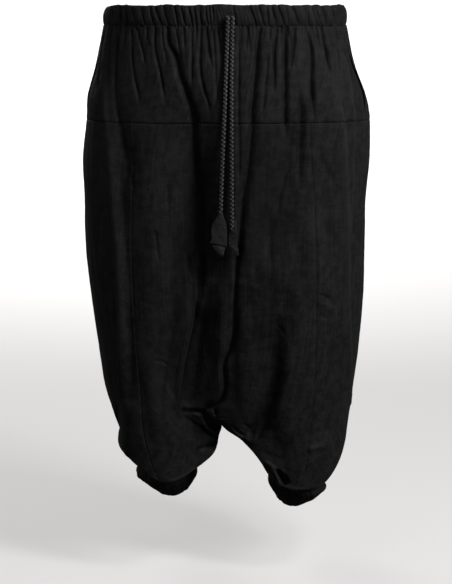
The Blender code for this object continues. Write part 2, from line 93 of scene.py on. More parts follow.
def addPiece(name, points, faces, clothMap=None, ridge=None, caps=()):
    # a mesh object with a metre-sized cloth map and a ridge value that says how proud each point stands, with
    # painted shade and painted highlights added in where given
    mesh = bpy.data.meshes.new(name)
    mesh.from_pydata(points.reshape(-1, 3).tolist(), [], faces.tolist() + list(caps))
    mesh.validate()
    piece = bpy.data.objects.new(name, mesh)
    scene.collection.objects.link(piece)
    if clothMap is not None:
        layer = mesh.uv_layers.new(name="clothMap")
        corners = np.empty(len(mesh.loops), int)
        mesh.loops.foreach_get("vertex_index", corners)
        layer.data.foreach_set("uv", clothMap.reshape(-1, 2)[corners].ravel())
    if ridge is not None:
        values = mesh.attributes.new("ridge", "FLOAT", "POINT")
        values.data.foreach_set("value", ridge.ravel())
    mesh.polygons.foreach_set("use_smooth", np.ones(len(mesh.polygons), bool))
    return piece


pieces = {}
slots = {}


def finishPiece(piece, node, slot="black_cloth", wall=None):
    # gives a piece its wall and says which node it stands for
    if wall:
        shell = piece.modifiers.new("wall", "SOLIDIFY")
        shell.thickness = wall
        shell.offset = 0.0
    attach(piece, "root")
    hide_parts(node)
    pieces[node] = piece
    slots[node] = slot


def runAlong(points):
    # how far along a line each of its points lies
    steps = np.linalg.norm(np.diff(points, axis=0), axis=1)
    return np.concatenate([[0.0], np.cumsum(steps)])


def unit(vectors, axis=2):
    return vectors / np.maximum(np.linalg.norm(vectors, axis=axis, keepdims=True), 1e-9)


def gridFaces(index):
    return np.stack([index[:-1, :-1], index[1:, :-1], index[1:, 1:], index[:-1, 1:]], axis=-1).reshape(-1, 4)


def tubeFaces(rows, columns):
    index = np.arange(rows * columns).reshape(rows, columns)
    beside = np.roll(index, -1, axis=1)
    return np.stack([index[:-1], index[1:], beside[1:], beside[:-1]], axis=-1).reshape(-1, 4)


# Sections from the casing down to the crotch. fold is the x of the centre recess, right and left the
# reach of each side, the seams the reach of the front seams, pinch how far it has parted into legs.
trunkFields = ("z", "fold", "right", "left", "seamRight", "seamLeft", "front", "back", "pinch")
trunkRows = [
    (-0.0168, 0.000, 0.2175, 0.214, 0.150, 0.140, 0.140, 0.148, 0.000),
    (-0.083, 0.000, 0.231, 0.228, 0.155, 0.142, 0.150, 0.163, 0.000),
    (-0.140, -0.015, 0.247, 0.249, 0.158, 0.144, 0.158, 0.179, 0.000),
    (-0.183, -0.030, 0.249, 0.257, 0.160, 0.146, 0.164, 0.188, 0.010),
    (-0.254, -0.042, 0.256, 0.258, 0.163, 0.150, 0.170, 0.196, 0.050),
    (-0.327, -0.046, 0.254, 0.252, 0.165, 0.156, 0.176, 0.200, 0.100),
    (-0.414, -0.046, 0.252, 0.250, 0.166, 0.158, 0.180, 0.201, 0.160),
    (-0.502, -0.046, 0.244, 0.249, 0.163, 0.158, 0.182, 0.200, 0.250),
    (-0.591, -0.044, 0.232, 0.242, 0.158, 0.157, 0.181, 0.197, 0.420),
    (-0.660, -0.034, 0.222, 0.234, 0.152, 0.154, 0.176, 0.191, 0.660),
    (-0.715, -0.018, 0.207, 0.227, 0.147, 0.149, 0.166, 0.183, 0.900),
    (-0.748, -0.008, 0.196, 0.223, 0.142, 0.146, 0.156, 0.175, 0.993),
]
# Sections of each leg: heights at the inseam, front, outer side and back, then the reach of the
# same four and of the front seam. The leg falls over its cuff, turns under and runs back in.
legFields = ("zIn", "zFront", "zOut", "zBack", "xIn", "xOut", "seam", "front", "back")
legRows = {
    -1: [(-0.768, -0.774, -0.760, -0.776, 0.013, 0.198, 0.136, 0.146, 0.166),
         (-0.785, -0.800, -0.776, -0.803, 0.016, 0.199, 0.130, 0.132, 0.152),
         (-0.799, -0.820, -0.788, -0.825, 0.022, 0.194, 0.122, 0.112, 0.134),
         (-0.805, -0.831, -0.795, -0.835, 0.034, 0.182, 0.116, 0.094, 0.117),
         (-0.801, -0.827, -0.793, -0.831, 0.046, 0.170, 0.112, 0.078, 0.101),
         (-0.797, -0.814, -0.791, -0.817, 0.054, 0.158, 0.108, 0.064, 0.088),
         (-0.795, -0.806, -0.790, -0.808, 0.060, 0.148, 0.106, 0.052, 0.074)],
    1: [(-0.769, -0.772, -0.772, -0.776, 0.020, 0.220, 0.144, 0.147, 0.168),
        (-0.792, -0.802, -0.802, -0.806, 0.044, 0.212, 0.140, 0.137, 0.158),
        (-0.813, -0.828, -0.829, -0.834, 0.062, 0.199, 0.135, 0.119, 0.140),
        (-0.830, -0.844, -0.848, -0.852, 0.074, 0.184, 0.130, 0.098, 0.120),
        (-0.828, -0.841, -0.845, -0.849, 0.083, 0.174, 0.128, 0.083, 0.106),
        (-0.824, -0.832, -0.836, -0.839, 0.086, 0.165, 0.126, 0.067, 0.089),
        (-0.822, -0.826, -0.829, -0.831, 0.088, 0.158, 0.125, 0.053, 0.074)],
}
cut = {
    "ringSamples": 601, "ringPower": 0.87,
    "teardrop": 0.60, "teardropPower": 1.3, "legCentreY": 0.010, "legPeaks": {-1: 4.0, 1: 2.0},
    "yokeLevel": 3.0, "crotchLevel": 11.0, "turnLevel": 15.0, "lastLevel": 18.0,
    "pocketShare": 0.415,
}


def halfTable(side):
    trunk = dict(zip(trunkFields, np.array(trunkRows).T))
    leg = dict(zip(legFields, np.array(legRows[side]).T))
    reach, seam = ("right", "seamRight") if side < 0 else ("left", "seamLeft")
    trunk.update(xIn=side * trunk["fold"], xOut=trunk[reach], seam=trunk[seam])
    trunk.update({name: trunk["z"] for name in ("zIn", "zFront", "zOut", "zBack")})
    leg["pinch"] = np.ones(len(leg["zIn"]))
    return {name: np.concatenate([trunk[name], leg[name]]) for name in (*legFields, "pinch")}


halfTables = {side: halfTable(side) for side in (-1, 1)}


def valuesAt(side, levels):
    levels = np.asarray(levels, float)
    own = {name: curveThrough(column, levels) for name, column in halfTables[side].items()}
    other = {name: curveThrough(column, levels) for name, column in halfTables[-side].items()}
    joined = levels <= cut["crotchLevel"]
    own["xIn"] = np.where(joined, (own["xIn"] - other["xIn"]) / 2, own["xIn"])
    for name in ("zIn", "front", "back"):
        own[name] = np.where(joined, (own[name] + other[name]) / 2, own[name])
    own["pinch"] = np.clip(own["pinch"], 0.0, 1.0)
    return own


def ovalRings(row, pinch, taper, side, peak):
    # half sections from the centre front round the side to the centre back, one per row
    row = {name: np.asarray(value, float)[:, None] for name, value in row.items()}
    pinch = np.asarray(pinch, float)[:, None]
    taper = np.asarray(taper, float)[:, None]
    turn = np.linspace(0.0, 1.0, cut["ringSamples"])[None, :]
    across = np.sin(np.pi * turn) ** cut["ringPower"]
    cosine = np.cos(np.pi * turn)
    along = np.sign(cosine) * np.abs(cosine) ** cut["ringPower"]
    trunkX = row["xIn"] + (row["xOut"] - row["xIn"]) * across
    trunkY = -np.where(along > 0, row["front"], row["back"]) * along

    cosine, sine = np.cos(2 * np.pi * turn), np.sin(2 * np.pi * turn)
    middle = (row["xIn"] + row["xOut"]) / 2
    radius = (row["xOut"] - row["xIn"]) / 2
    pointed = 1 - np.abs(sine) ** cut["teardropPower"]
    inner = (1 - taper) * cosine + taper * pointed
    legX = middle - radius * np.where(cosine > 0, inner, cosine)
    frontReach = row["front"] + cut["legCentreY"]
    backReach = row["back"] - cut["legCentreY"]
    legY = cut["legCentreY"] - np.where(sine > 0, frontReach, backReach) * sine

    middling = np.abs(sine) ** peak
    height = (np.where(cosine > 0, row["zIn"], row["zOut"]) * (1 - middling)
              + np.where(sine > 0, row["zFront"], row["zBack"]) * middling)
    return np.stack([side * ((1 - pinch) * trunkX + pinch * legX),
                     (1 - pinch) * trunkY + pinch * legY, height], axis=2)


def ringRun(rings):
    steps = np.linalg.norm(np.diff(rings, axis=1), axis=2)
    run = np.concatenate([np.zeros((len(rings), 1)), np.cumsum(steps, axis=1)], axis=1)
    return run / run[:, -1:], run[:, -1]


def ringsAt(side, levels):
    row = valuesAt(side, levels)
    levels = np.asarray(levels, float)
    taper = cut["teardrop"] * (1 - smoothStep((levels - cut["crotchLevel"] - 1) / 3))
    rings = ovalRings(row, row["pinch"], taper, side, cut["legPeaks"][side])
    share, girth = ringRun(rings)
    return rings, share, girth, row


def sampleRings(rings, share, wanted):
    points = np.empty(wanted.shape + (3,))
    for i in range(len(rings)):
        for axis in range(3):
            points[i, :, axis] = np.interp(wanted[i], share[i], rings[i, :, axis])
    return points


def shareAtReach(ring, share, side, reach, face):
    # share of the half girth where the front or the back of a section has this reach
    outward = side * ring[:, 0]
    half = len(ring) // 2
    if face == "front":
        return np.interp(reach, outward[:half + 1], share[:half + 1])
    return np.interp(-reach, -outward[half:], share[half:])


# Lines that the folds and seams follow are read off these tracks, one place for each fine level
track = {"levels": np.linspace(0.0, cut["lastLevel"], 361)}
for side in (-1, 1):
    rings, share, girth, row = ringsAt(side, track["levels"])
    track[side] = {"rings": rings, "share": share, "girth": girth, "z": row["zFront"]}
    for face in ("front", "back"):
        track[side]["seam" + face] = np.array([
            shareAtReach(rings[i], share[i], side, row["seam"][i], face) for i in range(len(rings))])


def onTrack(side, name, levels):
    return np.interp(levels, track["levels"], track[side][name])


mm = 0.001


def ramp(values):
    return np.atleast_1d(np.array(values, float)) * mm


# the second value is the half width of the painted highlight along a fold's crest
foldSetup = {"overlap": 0.05, "crestWidth": 0.0016}


# Folds are in millimetres. A line fold hangs: its path gives x for each z, as seen from the front or
# the back of one half, and its widths and depth run from top to bottom. inner and outer are the half
# widths towards and away from the centre. A negative depth is a ridge; crest is how pale a painted
# highlight along its edge is.
def hang(side, face, path, inner, outer, depth, fade=(0.12, 0.3), power=2.0, crest=0.0):
    return {"side": side, "face": face, "path": np.array(path, float) * mm, "inner": ramp(inner),
            "outer": ramp(outer), "depth": ramp(depth), "fade": fade, "power": power, "crest": crest}


# A crease runs any way over the front or back: left and right are its half widths as it goes
def crease(face, path, left, right, depth, fade=(0.2, 0.3), power=2.0):
    return {"face": face, "path": np.array(path, float) * mm, "left": ramp(left), "right": ramp(right),
            "depth": ramp(depth), "fade": fade, "power": power}


def rampAt(values, run):
    return np.interp(run, np.linspace(0, 1, len(values)), values) if len(values) > 1 else values[0]


# For each side and face the hanging folds: path, inner, outer, depth, then fade, power and crest (a painted
# highlight) if set
hangs = {
    (-1, "front"): [
        # gathers that run down from the casing
        ([(-181, -14), (-187, -64), (-190, -119), (-188, -154), (-180, -211), (-173, -262), (-172, -323)],
         (3, 5, 14, 16, 10), (3, 4, 6, 8, 8), (4, 5, 7, 5)),
        ([(-161, -14), (-159, -81), (-150, -136), (-147, -165)], 3, 3, (4, 3.4)),
        ([(-153, -14), (-143, -56), (-135, -91)], 2.6, 2.6, 3.2),
        ([(-121, -14), (-121, -56), (-112, -100), (-104, -156)], 3, 3, (4, 3.4)),
        ([(-102, -12), (-99, -46), (-88, -68), (-81, -100), (-70, -133), (-61, -162), (-58, -200)],
         (4, 7, 9, 9), (3, 4, 5, 5), (5, 8, 9, 8), (0.06, 0.2)),
        ([(-73, -14), (-70, -61)], 2.4, 2.6, 2.6),
        ([(-60, -14), (-59, -81), (-59, -129)], 2.6, 2.8, 3.2),
        ([(-50, -14), (-48, -70), (-43, -120)], 2.2, 2.2, 2.0),
        ([(-44, -14), (-43, -100), (-29, -154), (-28, -178)], 3, 3, (3, 4.2)),
        ([(-35, -14), (-29, -60), (-22, -95)], 2.4, 2.6, 2.8),
        ([(-15, -14), (-7, -81), (-15, -125), (-11, -178)], 2.6, 2.6, 2.8),
        ([(-24, -14), (-19, -70), (-17, -150)], 2.2, 2.2, 2.0),
        ([(-88, -14), (-80, -55), (-75, -90)], 2.2, 2.4, 2.2),
        ([(-110, -14), (-107, -50), (-98, -90)], 2.2, 2.2, 2.0),
        ([(-137, -14), (-130, -58)], 2.2, 2.2, 2.2),
        ([(-171, -14), (-173, -62)], 2.2, 2.2, 1.8),
        ([(-194, -14), (-200, -80), (-202, -130)], 2.6, 2.8, 2.8),
        ([(-206, -14), (-214, -80), (-218, -130)], 3, 3, 2.8),
        # edges that hang at the outer sides, with a painted highlight along each crest
        ([(-220, -110), (-224, -182), (-229, -251), (-230, -336), (-225, -415), (-215, -489), (-205, -530)],
         10, 3, -5, (0.12, 0.2), 1.5, 1.0),
        ([(-208, -108), (-204, -174), (-199, -251), (-193, -336), (-187, -415), (-185, -489), (-185, -559),
         (-184, -612), (-183, -700)], 9, 4, -6, (0.1, 0.08), 1.5, 1.1),
        # long slack hangs
        ([(-190, -150), (-186, -240), (-182, -330), (-176, -430), (-170, -560), (-168, -700)], 38, 7, 8,
         (0.25, 0.15)),
        ([(-123, -366), (-117, -422)], 3, 3, 2.6),
        ([(-104, -250), (-101, -330), (-103, -400)], 6, 7, 2.4, (0.4, 0.4)),
        ([(-92, -420), (-94, -500), (-104, -580)], 8, 9, 2.4, (0.4, 0.4)),
        ([(-150, -600), (-146, -680), (-138, -760)], 14, 14, 3, (0.4, 0.3)),
    ],
    (1, "front"): [
        # gathers that run down from the casing
        ([(60, -12), (55, -41), (51, -85), (47, -126), (43, -163), (43, -194), (38, -252), (28, -309),
         (21, -383), (17, -422), (16, -465)], (3, 4, 4, 4, 4), (4, 6, 9, 10, 7), (8, 9, 10, 12, 12),
         (0.04, 0.14), 1.7),
        ([(22, -14), (21, -142), (22, -228), (22, -309), (20, -357)], 2, 2.8, (3, 4)),
        ([(88, -14), (84, -44), (82, -72), (82, -100), (81, -140)], 2.8, 3, (6, 6.5, 4)),
        ([(102, -12), (101, -64), (101, -120), (101, -170), (102, -215)], (3, 4, 4.5), (3, 5, 6), (7, 9, 9),
         (0.08, 0.2)),
        ([(117, -14), (116, -46), (113, -70), (107, -98)], 2.4, 2.6, 5),
        ([(134, -14), (144, -46), (148, -72), (147, -111), (149, -151), (151, -187)], (3, 4, 4), (3, 4, 4),
         (3, 8, 9, 6)),
        ([(126, -120), (129, -165), (129, -210), (128, -282), (138, -310)], (4, 5, 5), (5, 9, 8),
         (5, 10, 8, 3), (0.2, 0.3)),
        ([(72, -60), (69, -95), (64, -150), (62, -180)], 3, 3, 3),
        ([(163, -12), (168, -44), (173, -66), (179, -102)], 3.2, 3.4, 8),
        ([(187, -14), (193, -75), (196, -120)], 2.6, 3, 3.6),
        ([(36, -14), (34, -62)], 2, 2, 3),
        ([(66, -14), (64, -40)], 2.2, 2.2, 2.4),
        ([(93, -14), (94, -60)], 2, 2, 3),
        ([(76, -14), (74, -44)], 2, 2, 3),
        ([(155, -14), (158, -60)], 2.2, 2.2, 3.2),
        ([(177, -14), (184, -60)], 2.2, 2.4, 3),
        ([(203, -14), (208, -60)], 2.4, 2.4, 3.2),
        # edges that hang at the outer sides, with a painted highlight along each crest
        ([(188, -100), (199, -173), (205, -228), (208, -305), (212, -422), (213, -497), (217, -575),
         (218, -648), (217, -700)], 14, 3, -5, (0.15, 0.1), 1.5, 1.3),
        ([(194, -46), (209, -100), (217, -154), (220, -185), (217, -297), (213, -401)], 6, 3, -3.5,
         (0.1, 0.15), 1.5, 0.9),
        # long slack hangs
        ([(118, -140), (108, -220), (90, -300), (74, -380), (64, -460)], (22, 28, 28, 26), (16, 32, 46, 46),
         (3, 10, 15, 16, 12), (0.25, 0.3), 1.8),
        ([(168, -120), (166, -220), (168, -330), (172, -440)], (22, 24), (16, 18), (3, 6, 5), (0.3, 0.4)),
        ([(133, -375), (131, -406), (119, -460), (104, -485), (98, -520)], 9, 12, 6, (0.3, 0.2)),
        ([(72, -220), (66, -300), (60, -390)], 5, 6, 2.2, (0.4, 0.4)),
        ([(80, -330), (76, -420), (74, -520)], 6, 6, 2.4, (0.3, 0.4)),
        ([(54, -400), (50, -480), (52, -560)], 5, 6, 2.0, (0.3, 0.4)),
        ([(178, -330), (180, -420), (178, -500)], 7, 7, 2, (0.4, 0.4)),
        ([(60, -560), (62, -640), (50, -700)], 14, 14, -4, (0.4, 0.4)),
    ],
    (-1, "back"): [
        ([(-62, -14), (-60, -110), (-52, -220), (-50, -340)], (3, 8), (4, 10), (4.5, 7)),
        ([(-30, -14), (-26, -100), (-22, -150)], 3, 3, 3),
        ([(-88, -14), (-86, -80), (-80, -130)], 3, 3, 3),
        ([(-118, -14), (-122, -110), (-130, -230), (-128, -360)], (3, 7, 9), (3, 8, 12), (4, 6, 4)),
        ([(-148, -14), (-156, -80), (-160, -130)], 3, 3.5, 3),
        ([(-176, -14), (-186, -100), (-196, -200), (-198, -320)], (3, 6), (4, 9), (3.5, 5)),
        ([(-90, -300), (-98, -430), (-96, -580), (-80, -700)], (14, 18), (16, 20), (5, 11), (0.3, 0.2)),
        ([(-160, -300), (-166, -450), (-160, -620)], 14, 12, -5, (0.3, 0.3)),
        ([(-44, -420), (-48, -520), (-54, -650)], 14, 14, -7, (0.3, 0.3)),
    ],
    (1, "back"): [
        ([(18, -14), (20, -110), (14, -240), (6, -380), (-4, -520)], (3, 7, 10), (4, 8, 14), (5, 8, 9)),
        ([(48, -14), (52, -90), (50, -140)], 3, 3, 3),
        ([(76, -14), (82, -110), (90, -230), (92, -330)], (3, 7), (3, 8), (4, 6)),
        ([(104, -14), (110, -90), (112, -150)], 3, 3, 3),
        ([(136, -14), (146, -120), (156, -240), (160, -380)], (3.5, 8), (3, 9), (4.5, 6)),
        ([(168, -14), (180, -90), (188, -160)], 3, 4, 3),
        ([(120, -360), (116, -500), (104, -640), (90, -740)], (14, 20), (16, 18), (5, 10), (0.3, 0.2)),
        ([(186, -300), (192, -460), (190, -640)], 14, 8, -5, (0.3, 0.3)),
        ([(56, -440), (56, -560), (50, -680)], 16, 14, -7, (0.3, 0.3)),
    ],
}
lineFolds = [hang(side, face, *fold) for (side, face), folds in hangs.items() for fold in folds]
# The creases of each face: path, left, right, depth, then fade and power if set
creaseTable = {
    "front": [
        # the deep recess left of the middle: a steep wall on its right, a slack slope on its left
        ([(-59, -150), (-56, -211), (-51, -262), (-48, -323), (-50, -383), (-47, -432), (-49, -470),
         (-58, -530)], (5, 7, 7, 6, 5), (9, 20, 22, 14, 5), (5, 12, 14, 13, 11), (0.16, 0.12), 1.7),
        ([(-66, -90), (-58, -160), (-52, -262), (-48, -345), (-49, -430), (-52, -500)], 36,
         (66, 64, 60, 46, 26), (6, 17, 22, 22, 14), (0.3, 0.3), 1.8),
        ([(-53, -490), (-57, -530), (-68, -577), (-75, -613), (-79, -640), (-82, -662), (-79, -682)],
         (7, 6, 5), 5, (5, 3, 2), (0.2, 0.05), 1.7),
        ([(21, -388), (17, -432), (15, -500), (15, -542), (8, -575), (-3, -600), (-1, -636), (-4, -655),
         (-12, -669), (-25, -678), (-42, -681)], (5, 3.4, 2.6, 2.6, 3.5, 4, 5), (3.4, 2.6, 2.6, 3, 4, 7, 6),
         (10, 10, 11, 14, 9), (0.14, 0.05), 1.7),
        # pouch bottom, the roll of cloth under it and the knot where they meet
        ([(-79, -682), (-70, -684), (-58, -685), (-45, -687), (-37, -693), (-36, -702)], 3, 3.4, 10,
         (0.05, 0.1), 1.7),
        ([(-75, -686), (-60, -688), (-49, -693), (-39, -703), (-32, -715), (-24, -724), (-18, -727)], 6, 6,
         -4, (0.1, 0.1)),
        ([(-74, -695), (-62, -703), (-50, -711), (-38, -719), (-30, -727), (-20, -732)], 2.6, 3.6, 5,
         (0.1, 0.1), 1.7),
        ([(-38, -681), (-39, -690), (-36, -702), (-27, -714), (-15, -721)], 3, 3, 9, (0.1, 0.05), 1.7),
        ([(-33, -706), (-22, -713), (-10, -718)], 5.5, 5.5, 14, (0.2, 0.2)),
        ([(-20, -681), (-17, -694)], 2.6, 2.6, 7, (0.3, 0.3)),
        ([(-34, -699), (-24, -701), (-8, -702)], 1.5, 1.5, 3.4, (0.2, 0.5)),
        ([(-30, -705), (-18, -705.5), (-4, -704)], 1.5, 1.5, 3, (0.2, 0.5)),
        ([(-22, -696), (-12, -698), (4, -699)], 1.5, 1.5, 2.2, (0.3, 0.5)),
        ([(-53, -755), (-40, -750), (-24, -745), (-15, -739)], 2.4, 4.5, 8, (0.3, 0.05), 1.6),
        ([(-117, -622), (-105, -648), (-96, -666), (-84, -686), (-74, -702), (-65, -720), (-58, -750)], 6,
         12, -3, (0.3, 0.2)),
        ([(-60, -760), (-48, -776)], 2, 2, 1.6, (0.3, 0.3)),
        ([(-53, -754), (-39, -772)], 2, 2, 1.8, (0.3, 0.3)),
        ([(12, -714), (26, -727), (38, -731)], 2.4, 2.6, 4, (0.2, 0.3)),
        ([(35, -722), (30, -734), (35, -745)], 2.2, 2.4, 3, (0.2, 0.3)),
        ([(30, -708), (44, -718)], 2.2, 2.4, 2.4, (0.2, 0.4)),
        # the broad hollow of the left leg, with a short V at its head
        ([(80, -420), (84, -490), (84, -548), (83, -598), (81, -627), (76, -651), (63, -689), (52, -712),
         (38, -738)], (30, 26, 20, 15, 10), (30, 42, 40, 26, 14), (2, 8, 17, 22, 15), (0.3, 0.06)),
        ([(89, -533), (98, -542), (106, -553)], 2.2, 3, 1.6, (0.3, 0.3), 1.8),
        ([(-126, -596), (-113, -597), (-100, -604)], 1.8, 2.2, 1.8, (0.3, 0.3)),
        ([(-163, -223), (-159, -260)], 2.2, 2.2, 3, (0.2, 0.3)),
        ([(-164, -271), (-161, -298)], 2.2, 2.2, 2.6, (0.2, 0.3)),
        ([(120, -234), (106, -271), (96, -309), (88, -350)], 2.6, 5, 3, (0.3, 0.3)),
        ([(160, -234), (177, -264), (192, -302)], 3, 4, 2.2, (0.3, 0.3)),
        ([(160, -478), (180, -487), (190, -504)], 3, 3, 3.2, (0.2, 0.3)),
        ([(161, -493), (172, -497), (182, -508)], 3, 3, -2, (0.2, 0.3)),
        ([(160, -515), (176, -522)], 3, 3, 2.2, (0.3, 0.3)),
        ([(163, -400), (172, -430), (170, -450)], 3, 3.5, 1.8, (0.2, 0.4)),
        ([(143, -758), (158, -751), (182, -749)], 4, 4, -3, (0.2, 0.4)),
        ([(62, -758), (82, -768), (104, -776)], 6, 7, 1.5, (0.3, 0.3)),
        # the folded lip of the left overhang and the dark pocket under it
        ([(66, -776), (82, -786), (95, -794), (107, -798)], 3.5, 3.5, -4, (0.2, 0.3)),
        ([(88, -790), (96, -800), (103, -812), (106, -819)], (3, 6), (3, 5), 14, (0.3, 0.05)),
        ([(78, -786), (88, -800), (94, -815), (100, -822)], 3, 3, -4, (0.2, 0.2)),
    ],
    "back": [
        ([(-52, -640), (-34, -676), (-6, -690), (28, -672), (44, -640)], 7, 7, 9, (0.3, 0.3)),
        ([(-60, -700), (-30, -712), (-10, -730)], 5, 6, 5, (0.3, 0.1)),
        ([(66, -704), (34, -716), (6, -732)], 5, 6, 5, (0.3, 0.1)),
        ([(-140, -560), (-118, -580), (-100, -612)], 5, 6, 3, (0.3, 0.4)),
        ([(150, -600), (128, -622), (112, -660)], 5, 6, 3, (0.3, 0.4)),
        ([(60, -770), (90, -790), (130, -800)], 5, 6, 4, (0.3, 0.3)),
        ([(-40, -776), (-80, -790), (-120, -790)], 5, 6, 4, (0.3, 0.3)),
    ],
}
creases = [crease(face, *line) for face, rows in creaseTable.items() for line in rows]


# Painted shade where the cloth stays folded away and in creases: how deep the recess would be that looks so
# dark
paintedShadeStrokes = [crease("front", *line) for line in (
    ([(-90, -300), (-80, -400), (-74, -460), (-78, -520), (-86, -580), (-94, -640), (-92, -680)], (14, 12),
     (24, 24), (6, 30, 38, 40, 30, 20, 12), (0.3, 0.1)),
    ([(-50, -440), (-53, -490), (-58, -530), (-69, -577), (-76, -613), (-81, -640), (-84, -662),
     (-82, -680), (-70, -686), (-56, -686), (-44, -682)], (4, 4, 3.4, 3), (3.4, 3.4, 3.2, 3),
     (8, 40, 56, 60, 56, 44), (0.12, 0.03)),
    ([(-1, -636), (-4, -655), (-10, -667), (-22, -676), (-38, -681), (-43, -690), (-40, -702), (-29, -715),
     (-16, -724)], 3, 3, (20, 44, 44, 44, 30), (0.2, 0.05)),
    ([(66, -140), (60, -250), (54, -350), (48, -420)], 44, 28, 22, (0.3, 0.3)),
    ([(-146, -570), (-132, -680), (-120, -740)], 44, 50, 24, (0.3, 0.3)),
    ([(-60, -440), (-60, -500), (-62, -560)], 8, 8, 14, (0.3, 0.4)),
    ([(-32, -708), (-24, -715), (-13, -723)], 5, 4, 18, (0.1, 0.1)),
    ([(-68, -706), (-54, -717), (-38, -728), (-26, -744)], (10, 12), (12, 16), (30, 54, 52, 30),
     (0.3, 0.2)),
    ([(92, -794), (99, -804), (104, -815)], (2, 6), (3, 6), 60, (0.1, 0.05)),
    ([(-56, -756), (-40, -750), (-24, -745), (-15, -740)], 2.6, 2.6, 40, (0.2, 0.05)),
    ([(-76, -693), (-62, -702), (-46, -712), (-32, -721), (-20, -728)], 2.4, 5, 36, (0.1, 0.1)),
    ([(139, -715), (138, -735), (135, -756), (131, -778), (127, -801), (123, -822)], 1.8, 1.8,
     (4, 14, 24, 30), (0.3, 0.05)),
)]


# Painted highlights: paler colour along lit lips, rolls and edges, and over the pouch's middle
paintedHighlightStrokes = [crease("front", *line) for line in (
    ([(-40, -470), (-38, -530), (-42, -590), (-46, -640)], 18, 16, 16, (0.3, 0.3)),
    ([(96, -820), (99, -823), (110, -822), (125, -824), (144, -827), (158, -826), (173, -816)], 3, 3, 14,
     (0.05, 0.05)),
    ([(-116, -798), (-104, -806), (-92, -809), (-80, -805), (-65, -796), (-50, -784)], 3, 3, (4, 12, 12, 8),
     (0.2, 0.2)),
    ([(66, -776), (82, -786), (92, -791)], 2.4, 2.4, 6, (0.2, 0.3)),
    ([(78, -786), (88, -800), (94, -815), (99, -822)], 2.4, 2.4, 10, (0.2, 0.1)),
    ([(-105, -648), (-96, -666), (-84, -686), (-74, -702), (-65, -720), (-58, -750)], 3, 3, 2, (0.4, 0.3)),
)]


def asSeen(points):
    # x and z of points as they cover each other from the camera
    eye = np.array(cameraSetup["place"])
    share = (cameraSetup["plane"] - eye[1]) / (points[..., 1] - eye[1])
    return points[..., 0] * share, eye[2] + (points[..., 2] - eye[2]) * share


def trackFolds():
    # for each line fold, the share and the run along its path at every fine level
    half = cut["ringSamples"] // 2
    for fold in lineFolds:
        side = fold["side"]
        path = fold["path"]
        fine = curveThrough(path, np.linspace(0, len(path) - 1, 40))
        order = np.argsort(fine[:, 1])
        rings = track[side]["rings"]
        part = slice(0, half + 1) if fold["face"] == "front" else slice(half, None)
        shares = track[side]["share"][:, part]
        if fold["face"] == "front":
            x, z = asSeen(rings[:, part])
            ahead = 1.0
        else:
            x, z = rings[:, part, 0], rings[:, part, 2]
            ahead = -1.0
        gap = ahead * side * (x - np.interp(z, fine[order, 1], fine[order, 0]))
        fold["share"] = np.zeros(len(rings))
        heights = np.zeros(len(rings))
        for i in range(len(rings)):
            rising = np.maximum.accumulate(gap[i])
            fold["share"][i] = np.interp(0.0, rising, shares[i])
            heights[i] = np.interp(fold["share"][i], shares[i], z[i])
        fold["run"] = (path[0, 1] - heights) / (path[0, 1] - path[-1, 1])
        fold["run"][track["levels"] > cut["turnLevel"]] = 9.0


def lineDepth(side, levels, shares, girth):
    depth = np.zeros(shares.shape)
    crest = np.zeros(shares.shape)
    for fold in lineFolds:
        if fold["side"] != side:
            # a fold near the middle reaches a little way over into the other half
            if np.abs(fold["path"][:, 0]).min() > foldSetup["overlap"]:
                continue
        run = np.interp(levels, track["levels"], fold["run"])
        rows = (run > 0) & (run < 1)
        if not rows.any():
            continue
        run = run[rows][:, None]
        centre = np.interp(levels[rows], track["levels"], fold["share"])[:, None]
        ownGirth = girth[rows][:, None]
        if fold["side"] == side:
            away = (shares[rows] - centre) * ownGirth
        elif fold["face"] == "front":
            away = -(shares[rows] + centre) * ownGirth
        else:
            away = (2 - shares[rows] - centre) * ownGirth
        if fold["face"] == "back":
            away = -away
        width = np.where(away < 0, rampAt(fold["inner"], run), rampAt(fold["outer"], run))
        ends = smoothStep(run / fold["fade"][0]) * smoothStep((1 - run) / fold["fade"][1])
        depth[rows] += rampAt(fold["depth"], run) * ends * np.exp(-(np.abs(away) / width) ** fold["power"])
        # a painted highlight along the crest: it pales the colour only and leaves the surface where it is
        if fold["crest"]:
            crest[rows] += fold["crest"] * ends * np.exp(-(away / foldSetup["crestWidth"]) ** 2)
    return depth, crest


def alongPath(fine, px, pz):
    # distance to a path, how far along it and on which hand each place lies
    along = runAlong(fine)
    along = along / along[-1]
    best = np.full(px.shape, 9.0)
    run = np.zeros(px.shape)
    hand = np.zeros(px.shape)
    for k in range(len(fine) - 1):
        (ax, az), (bx, bz) = fine[k], fine[k + 1]
        dx, dz = bx - ax, bz - az
        t = np.clip(((px - ax) * dx + (pz - az) * dz) / (dx * dx + dz * dz), 0, 1)
        gap = np.hypot(px - ax - t * dx, pz - az - t * dz)
        closer = gap < best
        best = np.where(closer, gap, best)
        run = np.where(closer, along[k] + t * (along[k + 1] - along[k]), run)
        hand = np.where(closer, dx * (pz - az) - dz * (px - ax), hand)
    return best, run, hand


